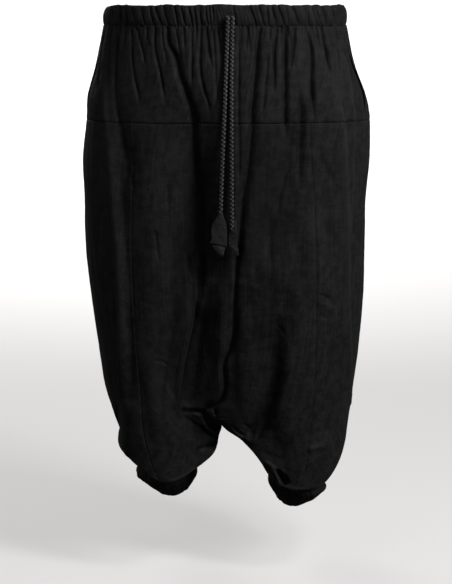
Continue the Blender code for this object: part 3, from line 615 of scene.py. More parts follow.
def strokes(lines, places):
    depth = np.zeros(places.shape[:-1])
    for line in lines:
        sign = 1.0 if line["face"] == "front" else -1.0
        turned = smoothStep((0.05 - sign * places[..., 1]) / 0.05)
        x, z = asSeen(places) if line["face"] == "front" else (places[..., 0], places[..., 2])
        path = line["path"]
        fine = curveThrough(path, np.linspace(0, len(path) - 1, 5 * len(path)))
        reach = 3 * max(line["left"].max(), line["right"].max())
        near = ((x > fine[:, 0].min() - reach) & (x < fine[:, 0].max() + reach)
                & (z > fine[:, 1].min() - reach) & (z < fine[:, 1].max() + reach) & (turned > 0))
        if not near.any():
            continue
        best, run, hand = alongPath(fine, x[near], z[near])
        width = np.where(hand > 0, rampAt(line["left"], run), rampAt(line["right"], run))
        start, end = line["fade"]
        ends = smoothStep(run / start + 0.15) * smoothStep((1 - run) / end + 0.15)
        shape = np.exp(-(best / width) ** line["power"])
        depth[near] += rampAt(line["depth"], run) * ends * turned[near] * shape
    return depth


# Where slack cloth hangs forward of the form under it. Each row is a seen height and how far forward
# the cloth stands at the seen places across, and the outline is where this holds, all in millimetres.
# In the pouch between the legs the edge column, in metres, is moved to the pouch's left edge.
pouch = {
    "edge": [(-455, -48), (-490, -50), (-525, -57), (-560, -65), (-600, -74), (-640, -80), (-665, -83),
             (-685, -80), (-705, -75)],
    "across": [-130, -104, -86, -78, -72, -56, -38, -22, -8, 8, 30, 52, 76],
    "rows": [(-455, 160, 151, 147.5, 146, 144, 146, 149, 151, 153, 155, 158, 160, 161),
             (-490, 160, 151, 149, 148, 138, 136, 141, 146, 150, 149, 155, 158, 160),
             (-525, 156, 149, 149, 150, 122, 120, 130, 139, 145, 142, 153, 157, 159),
             (-560, 154, 148, 149, 151, 119, 117, 127, 137, 143, 139, 151, 155, 158),
             (-600, 154, 148, 150, 154, 117, 115, 124, 132, 138, 138, 148, 154, 157),
             (-640, 156, 151, 151, 154, 118, 115, 123, 131, 137, 134, 144, 151, 155),
             (-665, 158, 155, 151, 152, 121, 116, 121, 127, 130, 131, 142, 149, 155),
             (-685, 161, 158, 148, 145, 130, 121, 119, 123, 129, 133, 140, 147, 153),
             (-703, 163, 158, 143, 136, 130, 118, 112, 120, 126, 130, 137, 144, 150),
             (-722, 162, 160, 146, 139, 133, 119, 106, 104, 112, 124, 133, 141, 149),
             (-740, 160, 160, 150, 143, 138, 121, 107, 98, 100, 112, 128, 138, 146),
             (-765, 150, 153, 143, 136, 128, 108, 93, 84, 86, 96, 114, 132, 141)],
    "outline": [(-84, -460), (-60, -450), (20, -450), (72, -460), (80, -560), (78, -640), (70, -700),
                (60, -745), (46, -768), (20, -760), (-12, -768), (-34, -776), (-54, -770), (-76, -748),
                (-104, -724), (-114, -695), (-120, -665), (-117, -640), (-111, -600), (-102, -560),
                (-94, -525)],
    "soft": 12.0, "edgeColumn": -0.075,
}
# Painted shade: the cloth's colour is darkened the further the form lies behind this reach, between a low and
# a high place
darkening = {"reach": 0.150, "most": 0.035, "low": -0.71, "lowSoft": 0.03, "high": -0.46, "highSoft": 0.10}
rightBag = {
    "across": [-190, -182, -174, -160, -145, -130, -115, -100, -85, -70, -55, -40, -25],
    "rows": [(-640, 90, 110, 125, 138, 145, 145, 138, 128, 112, 95, 80, 60, 40),
             (-680, 100, 136, 150, 157, 160, 161, 159, 152, 138, 118, 96, 80, 60),
             (-722, 90, 134, 152, 159, 162, 163, 162, 159, 150, 134, 118, 103, 90),
             (-750, 90, 132, 150, 157, 160, 162, 162, 159, 151, 138, 122, 108, 96),
             (-790, 90, 130, 147, 154, 157, 160, 161, 159, 152, 140, 124, 108, 94),
             (-825, 90, 126, 144, 150, 154, 157, 158, 157, 151, 139, 122, 104, 88)],
    "outline": [(-206, -630), (-64, -630), (-64, -724), (-30, -742), (-4, -752), (-4, -850), (-206, -850)],
    "soft": 14.0, "over": 5.0,
}
leftBag = {
    "across": [25, 40, 55, 70, 85, 100, 115, 130, 145, 160, 175, 190, 205, 220],
    "rows": [(-690, 40, 50, 60, 70, 90, 115, 130, 132, 130, 124, 116, 95, 60, 20),
             (-720, 60, 84, 116, 136, 145, 150, 152, 150, 146, 138, 128, 108, 75, 30),
             (-742, 90, 126, 142, 148, 151, 154, 156, 155, 151, 144, 135, 113, 80, 40),
             (-775, 110, 136, 146, 150, 153, 155, 157, 156, 153, 147, 138, 116, 82, 40),
             (-805, 110, 134, 143, 148, 152, 155, 157, 156, 153, 147, 138, 116, 80, 40),
             (-840, 106, 130, 139, 145, 150, 154, 156, 155, 152, 146, 136, 114, 78, 40)],
    "outline": [(16, -736), (44, -714), (84, -680), (234, -680), (234, -860), (16, -860)],
    "soft": 10.0, "over": 5.0,
}


def outlineShare(form, x, z):
    # 0 outside the outline, 1 well inside
    outline = np.array(form["outline"], float) * mm
    share = np.zeros(x.shape)
    (lowX, lowZ), (highX, highZ) = outline.min(axis=0), outline.max(axis=0)
    near = (x > lowX) & (x < highX) & (z > lowZ) & (z < highZ)
    if not near.any():
        return share
    px, pz = x[near], z[near]
    closed = np.concatenate([outline, outline[:1]])
    inside = np.zeros(px.shape, bool)
    for (ax, az), (bx, bz) in zip(closed[:-1], closed[1:]):
        if az != bz:
            inside ^= ((az > pz) != (bz > pz)) & (px < (bx - ax) * (pz - az) / (bz - az) + ax)
    share[near] = np.where(inside, smoothStep(alongPath(closed, px, pz)[0] / (form["soft"] * mm)), 0.0)
    return share


def formAhead(form, x, z):
    # how far forward the form stands at each seen place: smooth down the rows, never overshooting across
    rows = np.array(form["rows"], float) * mm
    across = np.array(form["across"], float) * mm
    row = np.interp(-z, -rows[:, 0], np.arange(len(rows)))
    byRow = curveThrough(rows[:, 1:], row.ravel())
    rise = np.diff(byRow, axis=1) / np.diff(across)
    both = rise[:, :-1] * rise[:, 1:]
    slope = np.zeros(byRow.shape)
    slope[:, 1:-1] = np.where(both > 0, 2 * both / np.where(both > 0, rise[:, :-1] + rise[:, 1:], 1), 0)
    low = np.clip(np.searchsorted(across, x.ravel(), side="right") - 1, 0, len(across) - 2)
    width = np.diff(across)[low]
    t = np.clip((x.ravel() - across[low]) / width, 0, 1)
    index = np.arange(len(low))
    start, end = byRow[index, low], byRow[index, low + 1]
    slopeStart, slopeEnd = slope[index, low] * width, slope[index, low + 1] * width
    ahead = (start * (1 + 2 * t) * (1 - t) ** 2 + slopeStart * t * (1 - t) ** 2
             + end * t**2 * (3 - 2 * t) + slopeEnd * t**2 * (t - 1))
    return ahead.reshape(x.shape)


def bringForward(form, places, seen):
    # brings the front forward to the form, straight towards the eye, but not its underside
    x, z = asSeen(places)
    share = outlineShare(form, x, z) * seen
    if "edge" in form:
        edge = np.array(form["edge"], float) * mm
        line = np.interp(-z, -edge[:, 0], edge[:, 1])
        column = form["edgeColumn"]
        x = np.where(x < line, x - line + column, np.where(x < 0, column * x / line, x))
    ahead = formAhead(form, x, z)
    if "over" in form:
        own = -places[..., 1]
        ahead = (ahead + own + np.sqrt((ahead - own) ** 2 + (form["over"] * mm) ** 2)) / 2
    eye = np.array(cameraSetup["place"])
    y = places[..., 1] * (1 - share) - ahead * share
    scale = (y - eye[1]) / (places[..., 1] - eye[1])
    # painted shade of the hollow: it darkens the colour only, the surface does not move
    sunkenShade = np.clip(darkening["reach"] - ahead, 0, darkening["most"]) * share
    sunkenShade = sunkenShade * smoothStep((z - darkening["low"]) / darkening["lowSoft"])
    sunkenShade = sunkenShade * smoothStep((darkening["high"] - z) / darkening["highSoft"])
    return eye + (places - eye) * scale[..., None], share, sunkenShade


# Fine gathers that start at the casing all round, each with its own place, width, depth and length
gatherSetup = {"seed": 5, "spacing": 0.0078, "depth": (0.8, 2.8), "width": (1.6, 2.8),
               "length": (0.012, 0.060), "pleatSpacing": 0.0046, "pleatDepth": (0.5, 1.7),
               "pleatWidth": (1.0, 1.6), "pleatLength": (0.005, 0.012)}


def makeGathers():
    gathers = {}
    rng = np.random.default_rng(gatherSetup["seed"])
    for side in (-1, 1):
        girth = track[side]["girth"][0]
        count = int(girth / gatherSetup["spacing"])
        places = (np.arange(count) + rng.uniform(0.15, 0.85, count)) / count
        pleats = int(girth / gatherSetup["pleatSpacing"])
        gathers[side] = {
            "share": np.concatenate([places, (np.arange(pleats) + rng.uniform(0.1, 0.9, pleats)) / pleats]),
            "drift": np.concatenate([rng.normal(0.0, 0.010, count), rng.normal(0.0, 0.020, pleats)]),
        }
        for key in ("depth", "width", "length"):
            pleatKey = "pleat" + key.capitalize()
            gathers[side][key] = np.concatenate([rng.uniform(*gatherSetup[key], count),
                                                 rng.uniform(*gatherSetup[pleatKey], pleats)])
    return gathers


gathers = makeGathers()


def gatherDepth(side, shares, z, girth):
    depth = np.zeros(shares.shape)
    down = track[side]["z"][0] - z
    own = gathers[side]
    for k in range(len(own["share"])):
        centre = own["share"][k] + own["drift"][k] * down / 0.1
        fade = np.exp(-np.clip(down, 0, None) / own["length"][k]) * smoothStep(1.15 - down / 0.16)
        away = (shares - centre) * girth[:, None] / (own["width"][k] * mm * (1 + down / 0.10))
        depth += own["depth"][k] * mm * fade * np.exp(-away**2)
    return depth


seams = {"dip": 0.9*mm, "width": 0.0022, "yokeRoll": 0.35*mm, "legRoll": 0.4*mm,
         "strength": {-1: 0.15, 1: 1.2}}


def seamDepth(side, levels, shares, z, girth):
    # the cloth dips and puckers a little along each seam, with a low roll beside it
    along = shares * girth[:, None]
    away = z - np.interp(cut["yokeLevel"], track["levels"], track[side]["z"])
    pucker = 0.7 + 0.5 * np.sin(along / 0.0042) * np.sin(along / 0.0113)
    depth = seams["dip"] * pucker * np.exp(-(away / seams["width"]) ** 2)
    depth -= seams["yokeRoll"] * np.exp(-((away - 0.0055) / 0.004) ** 2)
    below = smoothStep((levels[:, None] - cut["yokeLevel"]) / 0.05) * seams["strength"][side]
    pucker = 0.75 + 0.45 * np.sin(z / 0.0050 + 2 * np.sin(z / 0.03)) * np.sin(z / 0.0170)
    for face in ("front", "back"):
        away = (shares - onTrack(side, "seam" + face, levels)[:, None]) * girth[:, None]
        depth += below * (seams["dip"] * pucker * np.exp(-(away / seams["width"]) ** 2)
                          - seams["legRoll"] * np.exp(-((away - 0.006) / 0.0045) ** 2))
    return depth


# Slack in the cloth, from broad sways to fine crumples: height, size of its blobs, and where it starts
slack = {"sway": [(1.2*mm, (0.045, 0.06, 0.26), 3.1), (0.7*mm, (0.022, 0.03, 0.11), 7.7),
                  (0.4*mm, (0.011, 0.016, 0.07), 4.7)],
         "crumple": [(0.34*mm, (0.010, 0.014, 0.030), 1.3), (0.16*mm, 0.0055, 5.9)],
         # how far a crest's painted highlight raises the ridge value
         "crestHeight": 6*mm}


def slackOf(kind, base):
    return sum(height * softNoise(base, cell, shift) for height, cell, shift in slack[kind])


def aroundRings(rings, share, shares):
    # points at these shares, and the direction round the ring at each
    ahead = sampleRings(rings, share, np.clip(shares + 0.004, 0, 1))
    behind = sampleRings(rings, share, np.clip(shares - 0.004, 0, 1))
    return sampleRings(rings, share, np.clip(shares, 0, 1)), ahead - behind


def clothSurface(side, levels, shares, inset=0.0):
    # points of the cloth at each level and share, with its folds, and how proud each stands, with painted
    # shade and painted highlights added in
    levels = np.asarray(levels, float)
    rings, share, girth = ringsAt(side, levels)[:3]
    base, around = aroundRings(rings, share, shares)
    up, down = (sampleRings(*ringsAt(side, np.clip(levels + step, 0, cut["lastLevel"]))[:2],
                            np.clip(shares, 0, 1)) for step in (-0.05, 0.05))
    normals = unit(np.cross(down - up, around) * side)

    z = base[..., 2]
    inPouch = sunkenShade = turned = np.zeros(shares.shape)
    if shares.min() < 0.5:
        toEye = unit(np.array(cameraSetup["place"]) - base)
        towards = smoothStep((normals * toEye).sum(axis=2) / 0.2 + 0.5)
        if shares.min() < 0.2:
            under = smoothStep((-normals[..., 2] - 0.5) / 0.25)
            base, inPouch, sunkenShade = bringForward(pouch, base, 1 - under * (1 - towards))
            turned = inPouch * smoothStep((darkening["high"] - z) / 0.09)
        for bag in (rightBag, leftBag):
            before = base[..., 1]
            base = bringForward(bag, base, towards)[0]
            turned = np.maximum(turned, smoothStep((before - base[..., 1]) / 0.02))
        normals = unit(normals * (1 - turned[..., None]) + toEye * turned[..., None])
    calm = 1 - smoothStep((levels - cut["turnLevel"]) / 1.5)[:, None]
    folds, crest = lineDepth(side, levels, shares, girth)
    folds = folds * (1 - inPouch) + strokes(creases, base)
    folds += gatherDepth(side, shares, z, girth)
    settled = smoothStep((track[side]["z"][0] - z) / 0.06)
    loose = slackOf("sway", base) * (1 - 0.6 * inPouch) + slackOf("crumple", base)
    depth = (folds + loose * (0.25 + 0.75 * settled)) * (0.35 + 0.65 * calm)
    depth += seamDepth(side, levels, shares, z, girth) + inset
    # painted shade of the hollow and of the shade strokes, less the painted highlights; colour only
    sunkenShade = sunkenShade + strokes(paintedShadeStrokes, base) - strokes(paintedHighlightStrokes, base)
    return base - normals * depth[..., None], crest * slack["crestHeight"] - depth - sunkenShade, girth


def downRun(points):
    return runAlong(points.mean(axis=1))


def sheetFromHalves(name, halves, face=None, welded=slice(None)):
    # halves: one (grid, clothMap, ridge, flip) each. With a face, the two share their middle column
    # in the welded rows.
    column = 0 if face == "front" else -1
    if face:
        middle = (halves[0][0][:, column] + halves[1][0][:, column]) / 2
        for half in halves:
            half[0][welded, column] = middle[welded]
    faces = []
    offset = 0
    for grid, clothMap, ridge, flip in halves:
        index = np.arange(ridge.size).reshape(ridge.shape) + offset
        if face and offset:
            index[welded, column] = firstColumn[welded]
        firstColumn = index[:, column]
        faces.append(gridFaces(index)[:, ::-1] if flip else gridFaces(index))
        offset += ridge.size
    faces = np.concatenate(faces)
    points, maps, ridges = (np.concatenate([half[k].reshape(-1, size) for half in halves])
                            for k, size in enumerate((3, 2, 1)))
    used = np.unique(faces)
    renumber = np.zeros(len(points), int)
    renumber[used] = np.arange(len(used))
    return addPiece(name + "_cloth", points[used], renumber[faces], maps[used], ridges[used])


def panelHalf(side, levels, shares, flip, face, inset=0.0):
    grid, ridge, girth = clothSurface(side, levels, shares, inset)
    across = shares - 1.0 if face == "back" else shares
    along = np.broadcast_to(downRun(grid)[:, None], shares.shape)
    return [grid, np.stack([side * across * girth[:, None], -along], axis=2), ridge, flip]


def evenLevels(first, last, spacing):
    # levels whose sections lie about this far apart down the front
    fine = np.linspace(first, last, 400)
    rings = ringsAt(-1, fine)[0]
    run = runAlong(rings[:, [0, cut["ringSamples"] // 4]].mean(axis=1))
    count = max(4, int(round(run[-1] / spacing)) + 1)
    return np.interp(np.linspace(0, run[-1], count), run, fine)


def bodyLevels(spacing):
    body = evenLevels(cut["yokeLevel"], cut["crotchLevel"], spacing)
    return np.concatenate([body, evenLevels(cut["crotchLevel"], cut["lastLevel"], spacing)[1:]])


def spreadShares(first, last, count):
    return first[:, None] + (last - first)[:, None] * np.linspace(0, 1, count)[None, :]


def tuckEdges(shares, girth):
    # two more columns at each edge slip under the neighbour; also how far each column goes in
    step = np.array(sheetSetup["tuckReach"])[None, :] / girth[:, None]
    under = np.array(sheetSetup["tuckDepth"])
    inset = np.concatenate([under[::-1], np.zeros(shares.shape[1]), under])
    return np.concatenate([shares[:, :1] - step[:, ::-1], shares, shares[:, -1:] + step], axis=1), inset


sheetSetup = {"wall": 0.9*mm, "yokeSpacing": 2.2*mm, "yokeColumns": {"front": 165, "back": 230},
              "bodySpacing": {"front": 2.4*mm, "back": 3.2*mm, "side": 2.8*mm},
              "centreColumns": {"front": 68, "back": 52}, "sideColumns": 84,
              "seamGap": {-1: 0.02*mm, 1: 0.25*mm}, "gape": 0.022,
              "tuckReach": (0.7*mm, 2.6*mm), "tuckDepth": (0.9*mm, 1.3*mm)}
trackFolds()


def buildYoke(face):
    levels = evenLevels(0.0, cut["yokeLevel"], sheetSetup["yokeSpacing"])
    ones = np.ones(len(levels))
    halves = []
    for side in (-1, 1):
        girth = onTrack(side, "girth", levels)
        gap = sheetSetup["seamGap"][1] / girth
        if face == "front":
            first, last = 0 * ones, cut["pocketShare"] - gap
        else:    # the back edge of each opening gapes in the middle
            run = np.clip((levels - 0.45) / 2.35, 0, 1)
            gape = sheetSetup["gape"] * np.sin(np.pi * run) ** 2 / girth
            first, last = cut["pocketShare"] + gap + gape, ones
        shares = spreadShares(first, last, sheetSetup["yokeColumns"][face])
        halves.append(panelHalf(side, levels, shares, (side > 0) == (face == "back"), face))
    finishPiece(sheetFromHalves("yoke_" + face, halves, face), "yoke_" + face, wall=sheetSetup["wall"])


def buildCentre(face):
    levels = bodyLevels(sheetSetup["bodySpacing"][face])
    joined = levels <= cut["crotchLevel"]
    halves = []
    for side in (-1, 1):
        gap = sheetSetup["seamGap"][side] / onTrack(side, "girth", levels)
        seam = onTrack(side, "seam" + face, levels)
        inner = np.where(joined, 0.0, gap)
        first, last = (inner, seam - gap) if face == "front" else (seam + gap, 1 - inner)
        shares = spreadShares(first, last, sheetSetup["centreColumns"][face])
        halves.append(panelHalf(side, levels, shares, (side > 0) == (face == "back"), face))
    piece = sheetFromHalves("centre_" + face, halves, face, joined)
    finishPiece(piece, "centre_" + face, wall=sheetSetup["wall"])


def buildSide(side, name):
    levels = bodyLevels(sheetSetup["bodySpacing"]["side"])
    front, back = (onTrack(side, "seam" + face, levels) for face in ("front", "back"))
    shares = spreadShares(front, back, sheetSetup["sideColumns"])
    shares, inset = tuckEdges(shares, onTrack(side, "girth", levels))
    half = panelHalf(side, levels, shares, side > 0, "side", inset[None, :])
    finishPiece(sheetFromHalves(name, [half]), name, wall=sheetSetup["wall"])


for face in ("front", "back"):
    buildYoke(face)
    buildCentre(face)
for side, name in ((-1, "side_right"), (1, "side_left")):
    buildSide(side, name)
print("yoke, centre and side panels done")


# Facings behind the two side openings
pocket = {"levels": (0.30, 2.85), "width": 0.060, "lap": 0.020, "inset": 3.6*mm, "columns": 24,
          "spacing": 4*mm}


def buildFacing(side, name):
    levels = evenLevels(*pocket["levels"], pocket["spacing"])
    girth = onTrack(side, "girth", levels)
    first = cut["pocketShare"] - pocket["lap"] / girth
    shares = spreadShares(first, first + pocket["width"] / girth, pocket["columns"])
    half = panelHalf(side, levels, shares, side > 0, "side", pocket["inset"])
    finishPiece(sheetFromHalves(name, [half]), name, wall=sheetSetup["wall"])


for side, name in ((-1, "pocket_right"), (1, "pocket_left")):
    buildFacing(side, name)
print("pocket facings done")


# The ruffled casing round the waist
casing = {
    "bottom": -0.0168, "top": 0.0178, "height": 0.043, "gap": 0.3*mm, "columnStep": 1.3*mm, "wall": 0.8*mm,
    "pitch": 0.0062, "slant": 0.30, "depth": (0.5, 2.0), "width": (1.0, 1.8), "seed": 21,
    "swell": 0.8*mm, "sag": 1.6*mm, "topWave": 1.1*mm, "lowFrill": 0.7*mm, "lowWave": 0.6*mm,
    # the deeper front valleys, seen in millimetres: x at the top, x at the bottom, depth
    "valleys": [(-194, -185, 3), (-180, -177, 4), (-171, -166, 3), (-160, -151, 3.4), (-146, -137, 3.4),
                (-131, -123, 4.6), (-122, -110, 5), (-108, -98, 3.8), (-89, -82, 3.6), (-78, -69, 4),
                (-64, -57, 6), (-55, -50, 3), (-45, -43, 3.4), (-36, -31, 3), (-29, -26, 3), (-23, -21, 2.6),
                (11, 17, 2.4), (39, 52, 5.2), (55, 65, 3.8), (69, 72, 3), (77, 84, 2.6), (88, 99, 5.4),
                (101, 106, 2.6), (112, 124, 4.4), (134, 141, 3.8), (146, 154, 2.8), (154, 157, 2.4),
                (164, 171, 4.8), (179, 186, 3.8), (190, 194, 2.6), (200, 203, 3)],
    # how far the top drops at the rounded side corners
    "corners": [(-222, 15), (-216, 9), (-210, 4.5), (-199, 1), (-188, 0), (206, 0), (212, 3), (215, 6),
                (218, 11)],
    # share of the height going up the outside, over the top and down the inside, and how far in
    "profile": [(0.00, 1.0), (0.06, 0.2), (0.20, -0.9), (0.45, -1.1), (0.70, -0.6), (0.88, 0.6), (0.97, 2.0),
                (1.00, 3.4), (0.97, 4.7), (0.86, 5.2), (0.60, 5.0), (0.30, 4.6), (0.06, 4.2)],
}


def makeRuffles():
    rng = np.random.default_rng(casing["seed"])
    ruffles = {}
    for side in (-1, 1):
        count = int(track[side]["girth"][0] / casing["pitch"])
        ruffles[side] = {
            "share": (np.arange(count) + rng.uniform(0.2, 0.8, count)) / count,
            "slant": casing["slant"] + rng.normal(0, 0.14, count),
            "depth": rng.uniform(*casing["depth"], count) * mm,
            "width": rng.uniform(*casing["width"], count) * mm,
            "top": rng.uniform(0.4, 1.0, count),
            "low": rng.uniform(0.6, 1.0, count),
        }
    return ruffles


ruffles = makeRuffles()


def ruffleDepth(side, shares, heightShare, girth):
    # narrow leaning valleys between puffed rolls
    depth = np.zeros(shares.shape)
    own = ruffles[side]
    rise = (heightShare - 0.5) * (casing["top"] - casing["bottom"])
    for k in range(len(own["share"])):
        lean = -side * own["slant"][k] * rise / girth
        away = (shares - own["share"][k] - lean) * girth / own["width"][k]
        reach = own["low"][k] + (own["top"][k] - own["low"][k]) * heightShare
        depth += own["depth"][k] * reach * np.exp(-np.abs(away) ** 1.6)
    return depth


def valleyDepth(base, heightShare):
    # the listed valleys on the front, and their like at the back
    depth = np.zeros(base.shape[:2])
    x = asSeen(base)[0]
    for k, (top, low, deep) in enumerate(casing["valleys"]):
        width = (1.5 + 0.5 * np.sin(1.7 * k)) * mm
        for sign in (1, -1):
            shift = 0.004 * np.sin(2.3 * k) if sign < 0 else 0.0
            centre = (low + (top - low) * heightShare) * mm * sign + shift
            turned = smoothStep((0.02 - sign * base[..., 1]) / 0.03)
            depth += turned * deep * mm * np.exp(-(np.abs(x - centre) / width) ** 1.5)
    return depth


def casingHalf(side, face):
    start, end = (0.0, cut["pocketShare"]) if face == "front" else (cut["pocketShare"], 1.0)
    profile = curveThrough(np.array(casing["profile"]), np.linspace(0, len(casing["profile"]) - 1, 26))
    height = profile[:, :1]
    girth = track[side]["girth"][0]
    gap = casing["gap"] / girth
    first = start + (gap if start > 0 else 0.0)
    last = end - (gap if end < 1 else 0.0)
    count = int((last - first) * girth / casing["columnStep"])
    shares = np.broadcast_to(np.linspace(first, last, count), (len(profile), count))
    base, around = aroundRings(*ringsAt(side, np.zeros(len(profile)))[:2], shares)
    outward = unit(np.stack([around[..., 1], -around[..., 0], np.zeros(shares.shape)], axis=2) * side)
    outside = np.clip(1 - (profile[:, 1:] - 1.0) / 5.0, 0.45, 1.0)
    puff = ruffleDepth(side, shares, height, girth) + valleyDepth(base, height)
    swell = casing["swell"] * softNoise(base + [0, 0, 0.3], (0.02, 0.02, 0.02), 2.2)
    middle = np.sin(np.pi * np.clip(height, 0, 1)) ** 0.5
    depth = profile[:, 1:] * mm + (puff * (0.35 + 0.65 * middle) + swell) * outside
    lowEdge = np.exp(-(height / 0.14) ** 2)
    frill = softNoise(base + [0, 0, 1.0], (0.0045, 0.0045, 0.02), 4.4) * lowEdge
    depth += casing["lowFrill"] * frill
    points = base - outward * depth[..., None]
    topWave = casing["topWave"] * softNoise(base, (0.010, 0.010, 0.01), 6.1) - 0.26 * puff
    sag = casing["sag"] * softNoise(base, (0.045, 0.045, 0.07), 8.3)
    lowWave = casing["lowWave"] * softNoise(base, (0.006, 0.006, 0.02), 2.9) * lowEdge
    points[..., 2] = (casing["bottom"] + (casing["top"] - casing["bottom"]) * height
                      + (topWave + sag) * smoothStep((height - 0.3) / 0.6) + lowWave)
    drop = np.interp(points[..., 0], *(np.array(casing["corners"], float).T * mm))
    points[..., 2] -= drop * smoothStep((height - 0.25) / 0.75)
    across = shares * girth if face == "front" else (shares - 1) * girth
    clothMap = np.stack([side * across, np.broadcast_to(height * casing["height"], shares.shape)], axis=2)
    return [points, clothMap, -depth + profile[:, 1:] * mm, (side > 0) == (face == "front")]


for face in ("front", "back"):
    piece = sheetFromHalves("waistband_" + face, [casingHalf(side, face) for side in (-1, 1)], face)
    finishPiece(piece, "waistband_" + face, "casing_cloth", casing["wall"])
print("waist casing done")


# Gathered ankle cuffs, their rows laid out like those of the legs
cuffRows = {
    -1: [(-0.786, -0.797, -0.783, -0.799, 0.060, 0.148, 0.106, 0.052, 0.074),
         (-0.803, -0.815, -0.800, -0.817, 0.060, 0.148, 0.106, 0.052, 0.074),
         (-0.822, -0.836, -0.822, -0.840, 0.055, 0.162, 0.106, 0.057, 0.080),
         (-0.837, -0.850, -0.837, -0.854, 0.053, 0.168, 0.106, 0.056, 0.080),
         (-0.852, -0.862, -0.849, -0.866, 0.060, 0.150, 0.106, 0.046, 0.070),
         (-0.862, -0.872, -0.864, -0.876, 0.066, 0.134, 0.106, 0.034, 0.056)],
    1: [(-0.813, -0.817, -0.820, -0.822, 0.088, 0.158, 0.125, 0.053, 0.074),
        (-0.829, -0.834, -0.837, -0.839, 0.088, 0.158, 0.125, 0.053, 0.074),
        (-0.843, -0.857, -0.855, -0.861, 0.080, 0.178, 0.125, 0.060, 0.082),
        (-0.857, -0.870, -0.865, -0.874, 0.080, 0.186, 0.125, 0.058, 0.080),
        (-0.871, -0.883, -0.877, -0.886, 0.088, 0.171, 0.125, 0.047, 0.068),
        (-0.880, -0.891, -0.884, -0.893, 0.092, 0.156, 0.125, 0.036, 0.056)],
}
cuff = {"seat": 2.0*mm, "columns": 230, "rows": 40, "gathers": 34, "depth": (1.0, 3.2),
        "width": (2.4, 4.6), "swell": 2.2*mm, "crumple": 0.5*mm, "wave": 1.6*mm, "seed": 40}


def buildCuff(side, name):
    places = np.linspace(0, len(cuffRows[side]) - 1, cuff["rows"])
    row = dict(zip(legFields, curveThrough(np.array(cuffRows[side]), places).T))
    seat = cuff["seat"] * (1 - smoothStep((places - 1) / 0.6))
    for field, sign in (("xIn", 1), ("xOut", -1), ("front", -1), ("back", -1)):
        row[field] = row[field] + sign * seat
    rings = ovalRings(row, np.ones(len(places)), np.zeros(len(places)), side, 2.0)
    share, girth = ringRun(rings)
    around = np.linspace(0, 1, cuff["columns"], endpoint=False)
    wanted = np.broadcast_to(around, (len(places), cuff["columns"]))
    base = sampleRings(rings, share, wanted)
    outward = unit((base - base.mean(axis=1, keepdims=True)) * [1, 1, 0])
    rng = np.random.default_rng(cuff["seed"] + side)
    depth = np.zeros(wanted.shape)
    run = places[:, None] / places[-1]
    for k in range(cuff["gathers"]):
        at = (k + rng.uniform(0.15, 0.85)) / cuff["gathers"]
        drift = rng.normal(0, 0.02)
        amount = rng.uniform(*cuff["depth"]) * mm
        width = rng.uniform(*cuff["width"]) * mm
        peak = rng.uniform(0.3, 1.0)
        away = np.abs(wanted - at - drift * (run - 0.5) + 0.5) % 1.0 - 0.5
        strength = np.exp(-((run - peak) / 0.45) ** 2)
        depth += amount * strength * np.exp(-(np.abs(away) * girth[:, None] / width) ** 1.7)
    depth += cuff["swell"] * softNoise(base, (0.024, 0.024, 0.016), 9.1) * np.sin(np.pi * run) ** 0.7
    depth += cuff["crumple"] * softNoise(base, (0.008, 0.008, 0.008), 3.3)
    points = base - outward * depth[..., None]
    wave = softNoise(base, (0.018, 0.018, 0.05), 5.2) * smoothStep((run - 0.2) / 0.5)
    points[..., 2] += cuff["wave"] * wave
    faces = tubeFaces(*wanted.shape)[:, ::-side]
    along = np.broadcast_to(downRun(points)[:, None], wanted.shape)
    clothMap = np.stack([wanted * girth[:, None], -along], axis=2)
    piece = addPiece(name + "_cloth", points, faces, clothMap, -depth)
    finishPiece(piece, name, wall=sheetSetup["wall"])


for side, name in ((-1, "cuff_right"), (1, "cuff_left")):
    buildCuff(side, name)
print("cuffs done")


# The braided drawstring: each route runs from its eyelet to its tip
cord = {"diameter": 0.0075, "sides": 20, "step": 0.6*mm, "pitch": 0.0072, "relief": 0.7*mm,
        "wide": 1.04, "flat": 0.86, "bow": 2.2}
cordRoutes = {
    "cord_right": [(0.0034, -0.1458, -0.0010), (0.0033, -0.1478, -0.0042), (0.0031, -0.1489, -0.0100),
                   (0.0024, -0.1497, -0.0300), (0.0010, -0.1538, -0.0700), (-0.0005, -0.1594, -0.1100),
                   (-0.0020, -0.1647, -0.1500), (-0.0040, -0.1678, -0.1950), (-0.0062, -0.1685, -0.2500),
                   (-0.0082, -0.1685, -0.3000), (-0.0092, -0.1685, -0.3360)],
    "cord_left": [(0.0116, -0.1458, -0.0010), (0.0115, -0.1478, -0.0042), (0.0113, -0.1489, -0.0100),
                  (0.0106, -0.1497, -0.0300), (0.0096, -0.1538, -0.0700), (0.0092, -0.1594, -0.1100),
                  (0.0092, -0.1647, -0.1500), (0.0093, -0.1678, -0.1950), (0.0095, -0.1685, -0.2500),
                  (0.0098, -0.1685, -0.3100), (0.0102, -0.1685, -0.3660)],
}
cords = {}


